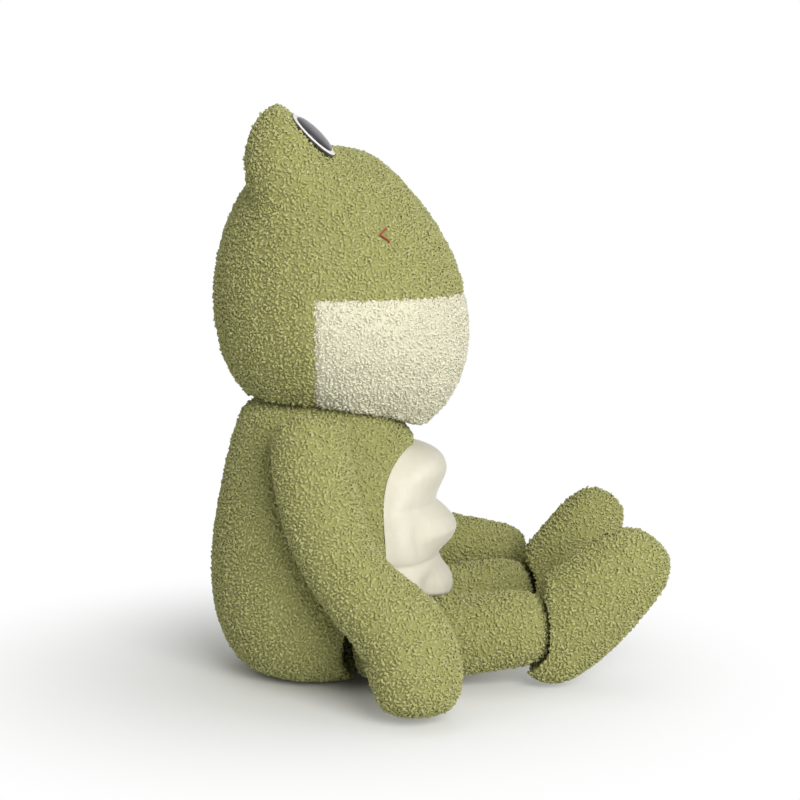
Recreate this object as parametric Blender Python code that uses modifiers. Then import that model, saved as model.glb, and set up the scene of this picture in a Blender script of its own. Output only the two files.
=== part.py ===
"""A seated plush frog, 40 cm tall: knitted pile covers filled with loose fibre.

The frog looks along -Y, +Z is up, and its own right side is at -X. The origin lies on the
floor, in the flat of the seat. Every length is in metres.

Each cover is a shell left open where it is sewn to the next part, and its filling is a
separate solid inside it. Head, arms, legs and feet each turn about their own seam.
"""

import math

import bmesh
import bpy
from mathutils import Matrix, Vector

RIGHT, LEFT = -1, 1

# General sizes
COVER_WALL = 0.004
FILLING_ROOM = 0.0008
FIT = 0.0003
CUT_ROOM = 0.40
BODY_SIDES = 12
BODY_INSIDE_SIDES = 8
LIMB_SIDES = 8
LIMB_INSIDE_SIDES = 6
BALL_SEGMENTS = 24
DOME_SEGMENTS = 40
MOUND_SEGMENTS = 16

# Torso, a pear that sits on a flat seat
TORSO_HEIGHT = 0.206
TORSO_HALF_WIDTH = 0.088
TORSO_HALF_DEPTH = 0.079
TORSO_CENTRE_Y = 0.009
# height, middle along Y, half depth, half width
TORSO_SHARES = (
    (-0.025, 0.05, 0.42, 0.42),
    (0.03, 0.05, 0.74, 0.74),
    (0.18, 0.02, 0.97, 0.95),
    (0.38, 0.01, 1.03, 1.04),
    (0.60, 0.00, 0.95, 0.90),
    (0.80, 0.03, 0.81, 0.75),
    (0.92, 0.03, 0.69, 0.65),
    (1.02, 0.04, 0.58, 0.56),
)

# Neck: the torso ends in a round dome, and the head is hollowed to sit on it
NECK_Y = 0.012
NECK_Z = TORSO_HEIGHT - 0.081
DOME_RADIUS = 0.0835
DOME_FROM_Z = TORSO_HEIGHT - 0.048
NECK_HOLE_RADIUS = 0.026
NECK_FILLING_DEPTH = 0.045

# Head
HEAD_HEIGHT = 0.206
HEAD_BOTTOM_Z = TORSO_HEIGHT - 0.040
HEAD_HALF_WIDTH = 0.105
HEAD_HALF_DEPTH = 0.090
HEAD_CENTRE_Y = -0.006
HEAD_SHARES = (
    (-0.02, -0.10, 0.44, 0.22),
    (0.10, -0.06, 0.80, 0.52),
    (0.28, -0.02, 1.01, 0.90),
    (0.50, 0.02, 1.02, 1.04),
    (0.72, 0.08, 0.86, 0.84),
    (0.90, 0.14, 0.57, 0.66),
    (1.00, 0.16, 0.28, 0.40),
)
CHIN_SEAM_SHARE = 0.495
CHIN_SEAM_Z = HEAD_BOTTOM_Z + HEAD_HEIGHT * CHIN_SEAM_SHARE
CHEEK_SEAM_Y = 0.014
HEAD_HOLE_RADIUS = 0.030

# Eye mounds on top of the head
MOUND_X = 0.052
MOUND_Y = 0.031
MOUND_Z = HEAD_BOTTOM_Z + HEAD_HEIGHT - 0.015
MOUND_HALF_WIDTH = 0.034
MOUND_HALF_DEPTH = 0.031
MOUND_HALF_HEIGHT = 0.042
MOUND_LEAN_DEG = 6.0

# Eyes: a felt ring with a dark domed pupil, set in the flat front of each mound
EYE_RADIUS = 0.019
EYE_THICKNESS = 0.0016
EYE_MARGIN = 0.0040
PUPIL_RADIUS = 0.0145
PUPIL_RISE = 0.0030
EYE_X = MOUND_X + 0.003
EYE_Y = MOUND_Y - 0.0175
EYE_Z = MOUND_Z + 0.0175
EYE_UP_DEG = 45.0
EYE_OUT_DEG = 14.0

# Nostrils: a small V of thread each, open to the front
NOSTRIL_WIDE_SHARE = 0.773
NOSTRIL_HIGH_SHARE = 0.7015
NOSTRIL_X = HEAD_HALF_WIDTH * NOSTRIL_WIDE_SHARE
NOSTRIL_Z = HEAD_BOTTOM_Z + HEAD_HEIGHT * NOSTRIL_HIGH_SHARE
NOSTRIL_LENGTH = 0.0075
NOSTRIL_THREAD = 0.0008
NOSTRIL_SPREAD_DEG = 78.0

# Belly panel: three padded channels of smooth cloth in one piece, round above and straight below
BELLY_SEAM_ZS = (0.167, 0.122, 0.085, 0.040)
BELLY_HALF_WIDTHS = (0.062, 0.068, 0.066)
BELLY_CENTRE_Y = -0.020
BELLY_FRONT_YS = (-0.0795, -0.0865, -0.0850)
BELLY_LAP = 0.0060
BELLY_CORE_HALF_WIDTH = 0.064
BELLY_CORE_FRONT_Y = -0.073
BELLY_CORE_HALF_HEIGHT = 0.075
BELLY_EDGE = 0.0050
BELLY_MIDDLE_Z = 0.1025
BELLY_HALF_WIDTH = 0.068
BELLY_HALF_HEIGHT = 0.064
BELLY_FOOT_HALF_WIDTH = 0.063
BELLY_FOOT_Z = 0.034

# Shoulders and arms
SHOULDER_X = 0.057
SHOULDER_Y = 0.018
SHOULDER_Z = TORSO_HEIGHT - 0.038
ARM_TILT_DEG = 21.0
ARM_OFFSET = 0.024
ARM_RADIUS = 0.0295
ARM_DROP = 0.1937
ARM_REACH = 0.066
LEFT_ARM_SWING_DEG = 41.0
ARM_HOLE_RADIUS = 0.014
# drop and reach along each arm: the right one is bent at its wrist, the left one at its elbow
ARM_PATHS = {
    RIGHT: (
        (-0.085, -0.02),
        (-0.030, -0.02),
        (0.160, 0.05),
        (0.370, 0.20),
        (0.540, 0.50),
        (0.655, 0.95),
        (0.860, 1.05),
        (0.965, 1.06),
    ),
    LEFT: (
        (-0.085, -0.02),
        (-0.030, -0.02),
        (0.150, -0.16),
        (0.370, -0.40),
        (0.612, -0.36),
        (0.846, 0.01),
        (1.036, 0.43),
        (1.108, 0.65),
    ),
}
ARM_RADIUS_SHARES = {
    RIGHT: (0.60, 0.98, 1.04, 1.00, 0.98, 1.18, 1.20, 0.68),
    LEFT: (0.60, 0.98, 1.04, 1.00, 0.94, 0.94, 0.99, 0.66),
}

# Hips and legs
HIP_X = 0.044
HIP_Y = -0.034
HIP_Z = 0.0287
HIP_DOWN_DEG = 35.0
HIP_UP_DEG = 4.0
LEG_RADIUS = 0.0310
ANKLE_X = 0.053
ANKLE_Y = -0.124
ANKLE_Z = 0.0405
LEG_HOLE_RADIUS = 0.015
LEG_END_SHARE = 0.955
# way along the leg, radius
LEG_SHARES = (
    (-0.31, 0.48),
    (-0.18, 0.90),
    (0.10, 1.02),
    (0.50, 0.97),
    (0.90, 0.955),
    (1.16, 0.90),
    (1.29, 0.48),
)

# Feet
FOOT_LENGTH = 0.134
FOOT_HALF_THICK = 0.037
FOOT_HALF_WIDTH = 0.028
FOOT_RISE_DEGS = {RIGHT: 47.0, LEFT: 54.0}
FOOT_OUT_DEG = 7.0
HEEL_AHEAD = 0.0025
HEEL_DROPS = {RIGHT: 0.0305, LEFT: 0.0328}
FOOT_HOLE_RADIUS = 0.012
FOOT_BACK_ROOM = 0.007
FOOT_BACK_TILT_DEG = 14.0
# way along each foot, half thickness, half width, bend away from the sole
FOOT_SHARES = {
    RIGHT: (
        (-0.01, 0.40, 0.46, 0.00),
        (0.10, 0.84, 0.86, 0.00),
        (0.34, 1.03, 1.02, 0.03),
        (0.62, 0.98, 1.04, 0.00),
        (0.85, 0.82, 0.92, -0.06),
        (1.00, 0.46, 0.48, -0.10),
    ),
    LEFT: (
        (-0.01, 0.40, 0.46, 0.00),
        (0.10, 0.83, 0.86, -0.01),
        (0.34, 0.92, 1.02, -0.07),
        (0.62, 0.84, 1.04, -0.12),
        (0.85, 0.76, 0.92, -0.06),
        (1.02, 0.42, 0.48, -0.08),
    ),
}

# Pellet bag, which lies on the seat inside the cover
BAG_Y = 0.030
BAG_RADIUS = 0.026
BAG_HEIGHT = 0.030
BAG_FLOOR = COVER_WALL + FIT

GREEN = (0.372, 0.392, 0.130, 1.0)
CREAM = (0.701, 0.694, 0.515, 1.0)
BELLY_CREAM = (0.791, 0.768, 0.651, 1.0)
WHITE = (0.855, 0.855, 0.830, 1.0)
NAVY = (0.025, 0.030, 0.045, 1.0)
RED = (0.350, 0.060, 0.030, 1.0)
FIBRE = (0.870, 0.870, 0.850, 1.0)
BAG_GREY = (0.550, 0.540, 0.500, 1.0)


def clear_scene():
    for thing in list(bpy.data.objects):
        bpy.data.objects.remove(thing, do_unlink=True)


def collection(name):
    made = bpy.data.collections.new(name)
    bpy.context.scene.collection.children.link(made)
    return made


def material(name, colour, roughness):
    made = bpy.data.materials.new(name)
    made.use_nodes = True
    shader = made.node_tree.nodes["Principled BSDF"]
    shader.inputs["Base Color"].default_value = colour
    shader.inputs["Roughness"].default_value = roughness
    shader.inputs["Metallic"].default_value = 0
    return made


def add_object(name, bm, home, look=None):
    """Turns a bmesh into an object of the given collection, with its normals facing out."""
    bmesh.ops.recalc_face_normals(bm, faces=bm.faces)
    mesh = bpy.data.meshes.new(name)
    bm.to_mesh(mesh)
    bm.free()
    mesh.shade_smooth()
    made = bpy.data.objects.new(name, mesh)
    home.objects.link(made)
    if look:
        mesh.materials.append(look)
    else:
        made.hide_render = True
        made.display_type = "WIRE"
    return made


def smooth(made):
    modifier = made.modifiers.new("Soft", "SUBSURF")
    modifier.levels = 1
    modifier.render_levels = 1


def boolean(made, operation, *others):
    for other in others:
        modifier = made.modifiers.new(f"{operation.title()} {other.name}", "BOOLEAN")
        modifier.operation = operation
        modifier.solver = "EXACT"
        modifier.object = other


def cut(made, *others):
    boolean(made, "DIFFERENCE", *others)


def join(made, *others):
    boolean(made, "UNION", *others)


def keep_inside(made, *others):
    boolean(made, "INTERSECT", *others)


def place(made, parent):
    made.parent = parent
    return made


def pivot(name, home, location, rotation=(0, 0, 0)):
    """An empty on a joint's axis, which carries the pieces that turn there."""
    made = bpy.data.objects.new(name, None)
    made.location = location
    made.rotation_euler = rotation
    home.objects.link(made)
    return made


def cage(rings):
    """A closed tube through the rings, each a list of as many points, with flat ends."""
    bm = bmesh.new()
    loops = [[bm.verts.new(point) for point in ring] for ring in rings]
    for low, high in zip(loops, loops[1:]):
        for i in range(len(low)):
            j = (i + 1) % len(low)
            bm.faces.new((low[i], low[j], high[j], high[i]))
    bm.faces.new(loops[0])
    bm.faces.new(loops[-1])
    return bm


def ring(centre, across, upward, half_across, half_up, sides):
    """Points of an ellipse, set outwards so that the smoothed form keeps the sizes given."""
    swell = 3 / (2 + math.cos(math.tau / sides))
    return [
        centre
        + across * (half_across * swell * math.cos(math.tau * i / sides))
        + upward * (half_up * swell * math.sin(math.tau * i / sides))
        for i in range(sides)
    ]


def upright_rings(shares, bottom_z, height, centre_y, half_depth, half_width, inset):
    """Level rings of the torso or the head. A positive inset gives the space inside its cover."""
    rings = []
    for up_share, middle_share, depth_share, width_share in shares:
        up = (up_share - 0.5) * (height - 2 * inset) + height / 2
        centre = Vector((0, centre_y + middle_share * half_depth, bottom_z + up))
        width = width_share * half_width - inset
        depth = depth_share * half_depth - inset
        sides = BODY_INSIDE_SIDES if inset > 0 else BODY_SIDES
        rings.append(ring(centre, Vector((1, 0, 0)), Vector((0, 1, 0)), width, depth, sides))
    return rings


def tube_rings(points, radii, inset):
    """Round rings along a bent path in the local YZ plane, square to the path."""
    rings = []
    last = len(points) - 1
    sides = LIMB_INSIDE_SIDES if inset > 0 else LIMB_SIDES
    for i, (point, radius) in enumerate(zip(points, radii)):
        way = (points[min(i + 1, last)] - points[max(i - 1, 0)]).normalized()
        shift = inset if i == 0 else -inset if i == last else 0
        upward = way.cross(Vector((1, 0, 0))).normalized()
        across = upward.cross(way).normalized()
        half = radius - inset
        rings.append(ring(point + way * shift, across, upward, half, half, sides))
    return rings


def box_between(name, home, low, high):
    """A wire box cutter from one corner to the other."""
    bm = bmesh.new()
    bmesh.ops.create_cube(bm, size=1)
    size = Vector(high) - Vector(low)
    middle = (Vector(high) + Vector(low)) / 2
    bmesh.ops.transform(
        bm, matrix=Matrix.Translation(middle) @ Matrix.Diagonal((*size, 1)), verts=bm.verts
    )
    return add_object(name, bm, home)


def ball(name, home, centre, radius, segments=BALL_SEGMENTS):
    bm = bmesh.new()
    bmesh.ops.create_uvsphere(bm, u_segments=segments, v_segments=segments // 2, radius=radius)
    bmesh.ops.translate(bm, vec=centre, verts=bm.verts)
    return add_object(name, bm, home)


def rod(name, home, start, end, radius):
    """A round cutter from one point to another."""
    start, end = Vector(start), Vector(end)
    way = end - start
    bm = bmesh.new()
    bmesh.ops.create_cone(
        bm,
        cap_ends=True,
        segments=BALL_SEGMENTS,
        radius1=radius,
        radius2=radius,
        depth=way.length,
    )
    turn = way.to_track_quat("Z", "Y").to_matrix().to_4x4()
    bmesh.ops.transform(
        bm, matrix=Matrix.Translation((start + end) / 2) @ turn, verts=bm.verts
    )
    return add_object(name, bm, home)


def shoulder_frame(side):
    """Where an arm is sewn on. Its own X points away from the torso, square to the seam."""
    turn = Matrix.Rotation(-side * math.radians(ARM_TILT_DEG), 4, "Y")
    return Matrix.Translation((side * SHOULDER_X, SHOULDER_Y, SHOULDER_Z)) @ turn


def shoulder_cutter(name, home, side, inset):
    """Everything beyond the flat shoulder seam, drawn in by the inset."""
    low = (side * -inset, -CUT_ROOM, -CUT_ROOM)
    high = (side * CUT_ROOM, CUT_ROOM, CUT_ROOM)
    made = box_between(
        name, home, [min(pair) for pair in zip(low, high)], [max(pair) for pair in zip(low, high)]
    )
    made.matrix_world = shoulder_frame(side)
    return made


def hip_cutter(name, home, room):
    """The room of both legs: a trough for their round tops, and in front of it all that they sweep."""
    radius = LEG_RADIUS + room
    made = rod(name, home, (-CUT_ROOM, HIP_Y, HIP_Z), (CUT_ROOM, HIP_Y, HIP_Z), radius)
    down = math.radians(HIP_DOWN_DEG)
    wedge = box_between(
        f"{name}_below",
        home,
        (-CUT_ROOM, -CUT_ROOM, -CUT_ROOM),
        (CUT_ROOM, HIP_Y + radius * math.sin(down), HIP_Z - radius * math.cos(down)),
    )
    rise = math.atan2(ANKLE_Z - HIP_Z, HIP_Y - ANKLE_Y) + math.radians(HIP_UP_DEG)
    under = box_between(
        f"{name}_under", home, (-CUT_ROOM, -CUT_ROOM, -CUT_ROOM), (CUT_ROOM, 0, 0)
    )
    under.location = (0, HIP_Y, HIP_Z)
    under.rotation_euler.x = -rise
    join(made, wedge, under)
    lift = Matrix.Rotation(-math.radians(HIP_UP_DEG), 3, "X")
    for side in (RIGHT, LEFT):
        hip = Vector((side * HIP_X, HIP_Y, HIP_Z))
        ankle = Vector((side * ANKLE_X, ANKLE_Y, ANKLE_Z))
        way = lift @ (ankle - hip).normalized()
        join(made, rod(f"{name}_lifted_{side + 1}", home, hip, hip + way * CUT_ROOM, radius))
    between = HIP_X - LEG_RADIUS - room
    crotch = box_between(
        f"{name}_between",
        home,
        (-between, -CUT_ROOM, -CUT_ROOM),
        (between, CUT_ROOM, CUT_ROOM),
    )
    cut(made, crotch)
    return made


def torso_body(name, home, cutters, inset, look=None):
    """The torso's outer form, or its inside drawn in by the inset, trimmed to the dome."""
    rings = upright_rings(
        TORSO_SHARES, 0, TORSO_HEIGHT, TORSO_CENTRE_Y, TORSO_HALF_DEPTH, TORSO_HALF_WIDTH, inset
    )
    made = add_object(name, cage(rings), home, look)
    smooth(made)
    above = box_between(
        f"{name}_above",
        cutters,
        (-CUT_ROOM, -CUT_ROOM, DOME_FROM_Z),
        (CUT_ROOM, CUT_ROOM, CUT_ROOM),
    )
    middle = (0, NECK_Y, NECK_Z)
    segments = BALL_SEGMENTS if inset > 0 else DOME_SEGMENTS
    cut(above, ball(f"{name}_dome", cutters, middle, DOME_RADIUS - inset, segments))
    below = box_between(
        f"{name}_below", cutters, (-CUT_ROOM, -CUT_ROOM, -CUT_ROOM), (CUT_ROOM, CUT_ROOM, inset)
    )
    cut(made, above, below)
    for side in (RIGHT, LEFT):
        cut(made, shoulder_cutter(f"{name}_side_{side + 1}", cutters, side, inset))
    cut(made, hip_cutter(f"{name}_hips", cutters, FIT + inset))
    return made


def neck_plug(name, home, cutters, radius, look=None):
    """A round plug at the neck whose top lies on the dome."""
    made = rod(
        name,
        home,
        (0, NECK_Y, NECK_Z + DOME_RADIUS - NECK_FILLING_DEPTH),
        (0, NECK_Y, NECK_Z + CUT_ROOM),
        radius,
    )
    if look:
        made.data.materials.append(look)
        made.hide_render = False
        made.display_type = "TEXTURED"
        middle = (0, NECK_Y, NECK_Z)
        keep_inside(made, ball(f"{name}_top", cutters, middle, DOME_RADIUS, DOME_SEGMENTS))
    return made


def make_torso(parts, cutters, floor, looks):
    cover = torso_body("torso_cover", parts, cutters, 0, looks["green"])
    void = torso_body("torso_void", cutters, cutters, COVER_WALL)
    cut(cover, void, neck_plug("torso_neck_hole", cutters, cutters, NECK_HOLE_RADIUS + FIT), floor)

    filling = torso_body("torso_filling", parts, cutters, COVER_WALL + FILLING_ROOM, looks["fibre"])
    cut(filling, neck_plug("filling_neck_hole", cutters, cutters, NECK_HOLE_RADIUS + FIT))
    bag_room = rod(
        "bag_room",
        cutters,
        (0, BAG_Y, -CUT_ROOM),
        (0, BAG_Y, BAG_FLOOR + BAG_HEIGHT + FIT),
        BAG_RADIUS + FIT,
    )
    cut(filling, bag_room)

    bag = rod(
        "pellet_bag",
        parts,
        (0, BAG_Y, BAG_FLOOR),
        (0, BAG_Y, BAG_FLOOR + BAG_HEIGHT),
        BAG_RADIUS,
    )
    bag.hide_render = False
    bag.display_type = "TEXTURED"
    bag.data.materials.append(looks["bag"])
    round_over = bag.modifiers.new("Rounded", "BEVEL")
    round_over.width = BAG_HEIGHT / 3
    round_over.segments = 2

    plug = neck_plug("neck_filling", parts, cutters, NECK_HOLE_RADIUS, looks["fibre"])
    return cover, filling, bag, plug


def make_belly(parts, cutters, looks):
    """A thin panel that follows the torso, with three padded channels across it on a low core."""
    panel = torso_body("belly_panel", parts, cutters, -BELLY_EDGE, looks["belly"])
    spans = zip(BELLY_SEAM_ZS, BELLY_SEAM_ZS[1:], BELLY_HALF_WIDTHS, BELLY_FRONT_YS)
    forms = [
        (half_width, front, (high + low) / 2, (high - low) / 2 + BELLY_LAP)
        for high, low, half_width, front in spans
    ]
    forms.append(
        (BELLY_CORE_HALF_WIDTH, BELLY_CORE_FRONT_Y, BELLY_MIDDLE_Z, BELLY_CORE_HALF_HEIGHT)
    )
    for i, (half_width, front, middle_z, half_height) in enumerate(forms):
        bm = bmesh.new()
        bmesh.ops.create_uvsphere(bm, u_segments=BALL_SEGMENTS, v_segments=10, radius=1)
        size = (half_width, BELLY_CENTRE_Y - front, half_height)
        middle = (0, BELLY_CENTRE_Y, middle_z)
        bmesh.ops.transform(
            bm, matrix=Matrix.Translation(middle) @ Matrix.Diagonal((*size, 1)), verts=bm.verts
        )
        join(panel, add_object(f"belly_channel_{i}", bm, cutters))
    outline = rod("belly_outline", cutters, (0, BELLY_CENTRE_Y, 0), (0, -CUT_ROOM, 0), BELLY_HALF_WIDTH)
    outline.scale.z = BELLY_HALF_HEIGHT / BELLY_HALF_WIDTH
    outline.location.z = BELLY_MIDDLE_Z
    low = (-BELLY_FOOT_HALF_WIDTH, -CUT_ROOM, BELLY_FOOT_Z)
    high = (BELLY_FOOT_HALF_WIDTH, BELLY_CENTRE_Y, BELLY_MIDDLE_Z)
    join(outline, box_between("belly_foot", cutters, low, high))
    keep_inside(panel, outline)
    seat = torso_body("belly_seat", cutters, cutters, -FIT)
    cut(panel, seat, hip_cutter("belly_hips", cutters, FIT))
    return panel


def mound_form(name, home, side, inset):
    bm = bmesh.new()
    bmesh.ops.create_uvsphere(bm, u_segments=MOUND_SEGMENTS, v_segments=MOUND_SEGMENTS // 2, radius=1)
    size = (MOUND_HALF_WIDTH - inset, MOUND_HALF_DEPTH - inset, MOUND_HALF_HEIGHT - inset)
    lean = Matrix.Rotation(side * math.radians(MOUND_LEAN_DEG), 4, "Y")
    place_at = Matrix.Translation((side * MOUND_X, MOUND_Y, MOUND_Z))
    bmesh.ops.transform(bm, matrix=place_at @ lean @ Matrix.Diagonal((*size, 1)), verts=bm.verts)
    return add_object(name, bm, home)


def eye_frame(side):
    """The middle of an eye's seat. Its own Z points out of the eye."""
    out = math.radians(EYE_OUT_DEG)
    up = math.radians(EYE_UP_DEG)
    normal = Vector(
        (side * math.sin(out) * math.cos(up), -math.cos(out) * math.cos(up), math.sin(up))
    )
    turn = normal.to_track_quat("Z", "Y").to_matrix().to_4x4()
    return Matrix.Translation((side * EYE_X, EYE_Y, EYE_Z)) @ turn


def eye_face(name, home, side, inset):
    """All that is in front of the flat face of an eye mound."""
    low = (-CUT_ROOM, -CUT_ROOM, -inset)
    made = box_between(name, home, low, (CUT_ROOM, CUT_ROOM, CUT_ROOM))
    made.matrix_world = eye_frame(side)
    return made


def eye_front(name, home, side, inset):
    """The round room in front of an eye, which keeps the forehead clear of it."""
    reach = EYE_RADIUS + EYE_MARGIN + inset
    made = rod(name, home, (0, 0, -inset), (0, 0, reach), reach)
    made.matrix_world = eye_frame(side)
    return made


def head_body(name, home, cutters, inset, look=None):
    rings = upright_rings(
        HEAD_SHARES,
        HEAD_BOTTOM_Z,
        HEAD_HEIGHT,
        HEAD_CENTRE_Y,
        HEAD_HALF_DEPTH,
        HEAD_HALF_WIDTH,
        inset,
    )
    made = add_object(name, cage(rings), home, look)
    smooth(made)
    for side in (RIGHT, LEFT):
        mound = mound_form(f"{name}_mound_{side + 1}", cutters, side, inset)
        cut(mound, eye_face(f"{name}_eye_face_{side + 1}", cutters, side, inset))
        join(made, mound)
        cut(made, eye_front(f"{name}_eye_front_{side + 1}", cutters, side, inset))
    flats_clear = math.cos(math.pi / DOME_SEGMENTS) ** 2
    bowl_radius = (DOME_RADIUS + FIT) / flats_clear + inset
    segments = BALL_SEGMENTS if inset > 0 else DOME_SEGMENTS
    cut(made, ball(f"{name}_bowl", cutters, (0, NECK_Y, NECK_Z), bowl_radius, segments))
    return made


def make_head(parts, cutters, looks):
    pivot_at = Vector((0, NECK_Y, NECK_Z))
    void = head_body("head_void", cutters, cutters, COVER_WALL)
    hole = rod(
        "head_neck_hole",
        cutters,
        pivot_at,
        pivot_at + Vector((0, 0, DOME_RADIUS + COVER_WALL * 2)),
        HEAD_HOLE_RADIUS,
    )
    chin_room = box_between(
        "chin_room",
        cutters,
        (-CUT_ROOM, -CUT_ROOM, -CUT_ROOM),
        (CUT_ROOM, CHEEK_SEAM_Y + FIT, CHIN_SEAM_Z + FIT),
    )
    cover = head_body("head_cover", parts, cutters, 0, looks["green"])
    cut(cover, void, hole, chin_room)

    chin_space = box_between(
        "chin_space",
        cutters,
        (-CUT_ROOM, -CUT_ROOM, -CUT_ROOM),
        (CUT_ROOM, CHEEK_SEAM_Y, CHIN_SEAM_Z),
    )
    muzzle = head_body("muzzle_panel", parts, cutters, 0, looks["cream"])
    cut(muzzle, void, hole)
    keep_inside(muzzle, chin_space)

    filling = head_body("head_filling", parts, cutters, COVER_WALL + FILLING_ROOM, looks["fibre"])
    pieces = [cover, muzzle, filling]
    for side, word in ((RIGHT, "right"), (LEFT, "left")):
        seat = rod(
            f"{word}_eye_seat",
            cutters,
            (0, 0, -EYE_THICKNESS - FIT),
            (0, 0, EYE_RADIUS),
            EYE_RADIUS + FIT,
        )
        seat.matrix_world = eye_frame(side)
        cut(cover, seat)
        pieces += make_eye(parts, side, word, looks)
        pieces.append(make_nostril(parts, side, word, looks))
    return pieces


def make_eye(parts, side, word, looks):
    disc = rod(f"{word}_eye_felt", parts, (0, 0, -EYE_THICKNESS), (0, 0, 0), EYE_RADIUS)
    disc.matrix_world = eye_frame(side)
    disc.hide_render = False
    disc.display_type = "TEXTURED"
    disc.data.materials.append(looks["white"])

    bm = bmesh.new()
    bmesh.ops.create_uvsphere(bm, u_segments=BALL_SEGMENTS, v_segments=10, radius=1)
    size = (PUPIL_RADIUS, PUPIL_RADIUS, PUPIL_RISE)
    bmesh.ops.transform(
        bm, matrix=Matrix.Translation((0, 0, FIT)) @ Matrix.Diagonal((*size, 1)), verts=bm.verts
    )
    bmesh.ops.bisect_plane(
        bm,
        geom=bm.verts[:] + bm.edges[:] + bm.faces[:],
        plane_co=(0, 0, FIT),
        plane_no=(0, 0, -1),
        clear_outer=True,
    )
    rim = [edge for edge in bm.edges if edge.is_boundary]
    bmesh.ops.contextual_create(bm, geom=rim)
    pupil = add_object(f"{word}_pupil", bm, parts, looks["navy"])
    pupil.matrix_world = eye_frame(side)
    return [disc, pupil]


def make_nostril(parts, side, word, looks):
    """A small V of thread that lies on the cover."""
    corner, out = on_head(Vector((side * NOSTRIL_X, -CUT_ROOM, NOSTRIL_Z)), Vector((0, 1, 0)))
    ahead = out.cross(Vector((0, 0, 1))).normalized() * side
    half = math.radians(NOSTRIL_SPREAD_DEG) / 2
    ends = [
        corner
        + ahead * (math.cos(half) * NOSTRIL_LENGTH)
        + out.cross(ahead) * (turn * math.sin(half) * NOSTRIL_LENGTH)
        for turn in (1, -1)
    ]
    curve = bpy.data.curves.new(f"{word}_nostril_stitch", "CURVE")
    curve.dimensions = "3D"
    curve.bevel_depth = NOSTRIL_THREAD
    curve.bevel_resolution = 1
    curve.use_fill_caps = True
    line = curve.splines.new("POLY")
    line.points.add(2)
    for point, place_at in zip(line.points, (ends[0], corner, ends[1])):
        seat, away = on_head(place_at + out * NOSTRIL_LENGTH, -out)
        point.co = (*(seat + away * (NOSTRIL_THREAD + FIT * 2)), 1)
    made = bpy.data.objects.new(curve.name, curve)
    parts.objects.link(made)
    curve.materials.append(looks["red"])
    return made


def on_head(start, way):
    """Where a line from outside meets the head's cover, and which way the cover faces there."""
    graph = bpy.context.evaluated_depsgraph_get()
    graph.update()
    head = bpy.data.objects["head_cover"].evaluated_get(graph)
    _, point, facing, _ = head.ray_cast(start, way)
    return point, facing


def arm_rings(side, inset):
    points = [
        Vector((side * ARM_OFFSET, -reach * ARM_REACH, -drop * ARM_DROP))
        for drop, reach in ARM_PATHS[side]
    ]
    radii = [share * ARM_RADIUS for share in ARM_RADIUS_SHARES[side]]
    return tube_rings(points, radii, inset)


def make_arm(parts, cutters, floor, side, word, looks):
    swing = math.radians(LEFT_ARM_SWING_DEG) if side == LEFT else 0
    frame = shoulder_frame(side) @ Matrix.Rotation(-swing, 4, "X")
    seam = pivot(f"{word}_shoulder", parts, frame.to_translation(), frame.to_euler())

    def form(name, home, inset, look=None):
        made = place(add_object(name, cage(arm_rings(side, inset)), home, look), seam)
        smooth(made)
        inner = box_between(
            f"{name}_inner",
            cutters,
            (-CUT_ROOM if side == LEFT else -(FIT + inset), -CUT_ROOM, -CUT_ROOM),
            (FIT + inset if side == LEFT else CUT_ROOM, CUT_ROOM, CUT_ROOM),
        )
        cut(made, place(inner, seam))
        return made

    cover = form(f"{word}_arm_cover", parts, 0, looks["green"])
    void = form(f"{word}_arm_void", cutters, COVER_WALL)
    hole = rod(
        f"{word}_arm_hole", cutters, (-side * COVER_WALL, 0, 0), (side * ARM_OFFSET, 0, 0), ARM_HOLE_RADIUS
    )
    cut(cover, void, place(hole, seam))
    filling = form(f"{word}_arm_filling", parts, COVER_WALL + FILLING_ROOM, looks["fibre"])
    if side == RIGHT:
        cut(cover, floor)
    return cover, filling


def leg_frame(side):
    """At the hip, with its own -Y along the leg."""
    way = Vector((side * (ANKLE_X - HIP_X), ANKLE_Y - HIP_Y, ANKLE_Z - HIP_Z))
    turn = (-way).to_track_quat("Y", "Z").to_matrix().to_4x4()
    return Matrix.Translation((side * HIP_X, HIP_Y, HIP_Z)) @ turn, way.length


def make_leg(parts, cutters, floor, side, word, looks):
    frame, length = leg_frame(side)
    seam = pivot(f"{word}_hip", parts, frame.to_translation(), frame.to_euler())

    def form(name, home, inset, look=None):
        points = [Vector((0, -share * length, 0)) for share, _ in LEG_SHARES]
        radii = [share * LEG_RADIUS for _, share in LEG_SHARES]
        made = place(add_object(name, cage(tube_rings(points, radii, inset)), home, look), seam)
        smooth(made)
        return made

    cover = form(f"{word}_leg_cover", parts, 0, looks["green"])
    void = form(f"{word}_leg_void", cutters, COVER_WALL)
    hole = rod(f"{word}_leg_hole", cutters, (0, 0, 0), (0, LEG_RADIUS * 2, 0), LEG_HOLE_RADIUS)
    cut(cover, void, place(hole, seam), floor)
    filling = form(f"{word}_leg_filling", parts, COVER_WALL + FILLING_ROOM, looks["fibre"])
    return cover, filling


def foot_frame(side):
    """At the heel's end, with its own Z along the foot and -Y towards the sole."""
    toe = Matrix.Rotation(math.radians(90 - FOOT_RISE_DEGS[side]), 4, "X")
    out = Matrix.Rotation(side * math.radians(FOOT_OUT_DEG), 4, "Z")
    heel = Vector((side * ANKLE_X, ANKLE_Y - HEEL_AHEAD, ANKLE_Z - HEEL_DROPS[side]))
    return Matrix.Translation(heel) @ out @ toe


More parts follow.
